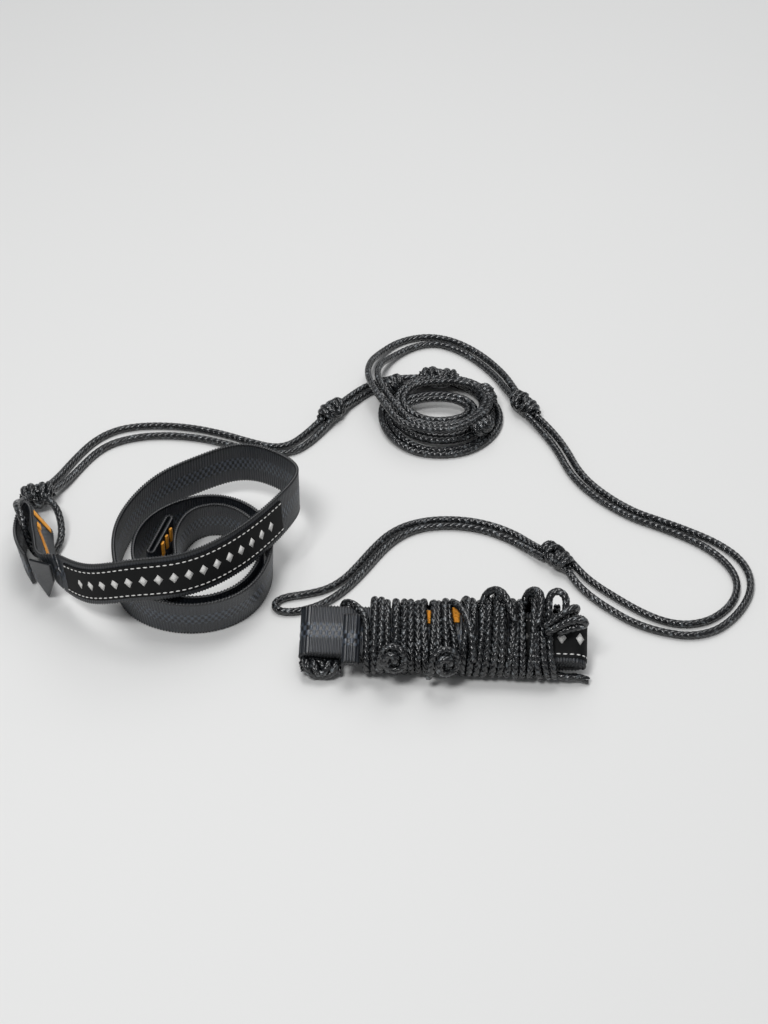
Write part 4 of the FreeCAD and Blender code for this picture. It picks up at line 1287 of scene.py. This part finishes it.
class STRAPS_OT_webbing_hank(bpy.types.Operator):
    """Rolled webbing and its folded end"""
    bl_idname = "straps.webbing_hank"
    bl_label = "Hank webbing"

    def execute(self, context):
        frames, marks = hank_frames(roll_line(), -WIDTH / 2, 0.42)
        weave("webbing_roll", strip_mesh("webbing_roll", frames, marks, THICK, 0, WIDTH),
              HANK, "webbing_b_roll")
        face = ROLL_OUTER + THICK / 2
        hump = [(-48.0, face + 0.9), (-47.9, face + 2.6), (-47.2, face + 3.6),
                (-45.9, face + 4.1), (-44.0, face + 4.2), (-42.3, face + 3.9),
                (-41.4, face + 2.8), (-41.2, face + 0.9)]
        frames, marks = hank_frames(hump, -5.2 - WIDTH / 2, 0.3)
        weave("webbing_end_fold",
              strip_mesh("webbing_end_fold", frames, marks, THICK, 0, WIDTH), HANK,
              "webbing_b_end_fold")
        return {"FINISHED"}


class STRAPS_OT_labels(bpy.types.Operator):
    """Labels with their white sewing and plain woven marks"""
    bl_idname = "straps.labels"
    bl_label = "Labels"

    def execute(self, context):
        sewing = context.scene.strap_sewing
        band = spiral_band()
        face = THICK / 2 + SKIN_GAP + LABEL_THICK
        start, end = LABEL_SPAN
        skin = band_strip("label_long", band, start, end, 0.6, LABEL_LOW,
                          LABEL_LOW + LABEL_WIDTH, LABEL_THICK,
                          -(face - LABEL_THICK / 2))
        finish_skin("label_long", skin, "Woven satin ribbon", LAID_OUT, "label",
                    "label_a")
        rows = [LABEL_LOW + THREAD_INSET, LABEL_LOW + LABEL_WIDTH - THREAD_INSET]
        run = dict(Pitch=sewing.stitch_pitch, Length=sewing.stitch_length, Width=0.0007,
                   Height=0.0005, Turn=0.0, Segments=8, Rings=5, Jitter=0.05)
        sewn("label_long_stitches",
             [band_line(band, start + 1, end - 1, height, -face) for height in rows],
             LAID_OUT, *WHITE,
             ["label_a_stitching"], **run)
        mark = dict(Width=0.0062, Height=0.0003, Turn=0.0, Segments=4, Rings=2,
                    Jitter=0.0)
        middle = WIDTH / 2
        sewn("label_long_marks", [band_line(band, start + 12, end - 10, middle, -face)],
             LAID_OUT, *WHITE, Pitch=0.0074,
             Length=0.0046, **mark)
        right = hank_frames(cover_line(SKIN_GAP + LABEL_THICK / 2, LABEL_B_LEFT,
                                       LABEL_B_LAST_ANGLE), -LABEL_WIDTH / 2, 0.5)
        skin = strip_mesh("label_hank", *right, LABEL_THICK, 0, LABEL_WIDTH)
        finish_skin("label_hank", skin, "Woven satin ribbon", HANK, "label", "label_b")
        on_top = hank_frames(cover_line(SKIN_GAP + LABEL_THICK, LABEL_B_LEFT + 1,
                                        LABEL_B_LAST_ANGLE + 4), -LABEL_WIDTH / 2, 1.0)[0]
        lines = []
        for height in (THREAD_INSET, LABEL_WIDTH - THREAD_INSET):
            lines.append([((foot + rise * height) * MM, -inward)
                          for foot, rise, inward in on_top])
        sewn("label_hank_stitches", lines, HANK, *WHITE, ["label_b_stitching"], **run)
        sewn("label_hank_marks", [[((foot + rise * LABEL_WIDTH / 2) * MM, -inward)
                                   for foot, rise, inward in on_top[3:]]],
             HANK, *WHITE, Pitch=0.0074,
             Length=0.0046, **mark)
        return {"FINISHED"}


class STRAPS_OT_bartacks(bpy.types.Operator):
    """Orange bartacks on the eyes and on the hank"""
    bl_idname = "straps.bartacks"
    bl_label = "Bartacks"

    def execute(self, context):
        tight = dict(Pitch=0.00055, Width=0.00062, Height=0.0007, Turn=1.45, Segments=8,
                     Rings=4, Jitter=0.22)
        eye = Band(OUTER_EYE)
        depth = -(THICK / 2 + 0.25)
        sewn("bartacks_outer_eye",
             [band_bar(eye, 20.0, 3.0, 18.0, depth, 25.0),
              band_bar(eye, 15.0, 2.0, 14.0, depth, 20.0),
              band_bar(eye, 42.0, 4.0, 22.0, depth), band_bar(eye, 36.0, 16.0, 19.0, depth)],
             LAID_OUT, *ORANGE,
             ["bartacks_a_outer_eye"], Length=0.0048, **tight)
        one, two = [Vector((x, y, 0)) for x, y in INNER_EYE_ENDS]
        heading = (two - one).normalized()
        right = Vector((heading.y, -heading.x, 0))
        start = one + right * (INNER_EYE_RADIUS + THICK / 2 + 0.3)
        bars = []
        for share in (0.3, 0.52, 0.74):
            foot = start + (two - one) * share + heading * 1.3
            bars.append([((foot + Vector((0, 0, height))) * MM, right)
                         for height in spaced(15.0, 22.5, 1.0)])
        sewn("bartacks_inner_eye", bars, LAID_OUT, *ORANGE, ["bartacks_a_inner_eye"], Length=0.0038,
             **{**tight, "Height": 0.0016, "Width": 0.0008})
        face = ROLL_OUTER + THICK / 2 + 1.2
        bars = [hank_bar(u, low, high, face) for u, low, high in
                ((-30, -3, 9), (-8, 5, 11), (2.6, 6, 13), (4.2, 6, 13), (5.8, 6, 13))]
        sewn("bartacks_hank", bars, HANK, *ORANGE,
             ["bartacks_b"], Length=0.0026, **tight)
        return {"FINISHED"}


class STRAPS_PT_panel(bpy.types.Panel):
    """Buttons and sizes of the straps"""
    bl_idname = "STRAPS_PT_panel"
    bl_label = "Hammock Straps"
    bl_space_type = "VIEW_3D"
    bl_region_type = "UI"
    bl_category = "Straps"

    def draw(self, context):
        for operator in OPERATORS:
            self.layout.operator(operator.bl_idname)
        for group in SETTINGS:
            for name in SETTINGS[group].__annotations__:
                self.layout.prop(getattr(context.scene, group), name)


OPERATORS = (STRAPS_OT_stage, STRAPS_OT_rope_laid_out, STRAPS_OT_rope_hank,
             STRAPS_OT_webbing_laid_out, STRAPS_OT_webbing_hank, STRAPS_OT_labels,
             STRAPS_OT_bartacks)
SETTINGS = {"strap_rope": RopeSettings, "strap_webbing": WebbingSettings,
            "strap_sewing": SewingSettings, "strap_stage": StageSettings}


def register():
    for group, kind in SETTINGS.items():
        bpy.utils.register_class(kind)
        setattr(bpy.types.Scene, group, bpy.props.PointerProperty(type=kind))
    for item in OPERATORS + (STRAPS_PT_panel,):
        bpy.utils.register_class(item)


def unregister():
    for item in (STRAPS_PT_panel,) + OPERATORS[::-1]:
        bpy.utils.unregister_class(item)
    for group, kind in SETTINGS.items():
        delattr(bpy.types.Scene, group)
        bpy.utils.unregister_class(kind)


def main():
    register()
    bpy.ops.straps.stage()
    bpy.ops.straps.rope_laid_out()
    bpy.ops.straps.rope_hank()
    bpy.ops.straps.webbing_laid_out()
    bpy.ops.straps.webbing_hank()
    bpy.ops.straps.labels()
    bpy.ops.straps.bartacks()


if __name__ == "__main__":
    main()
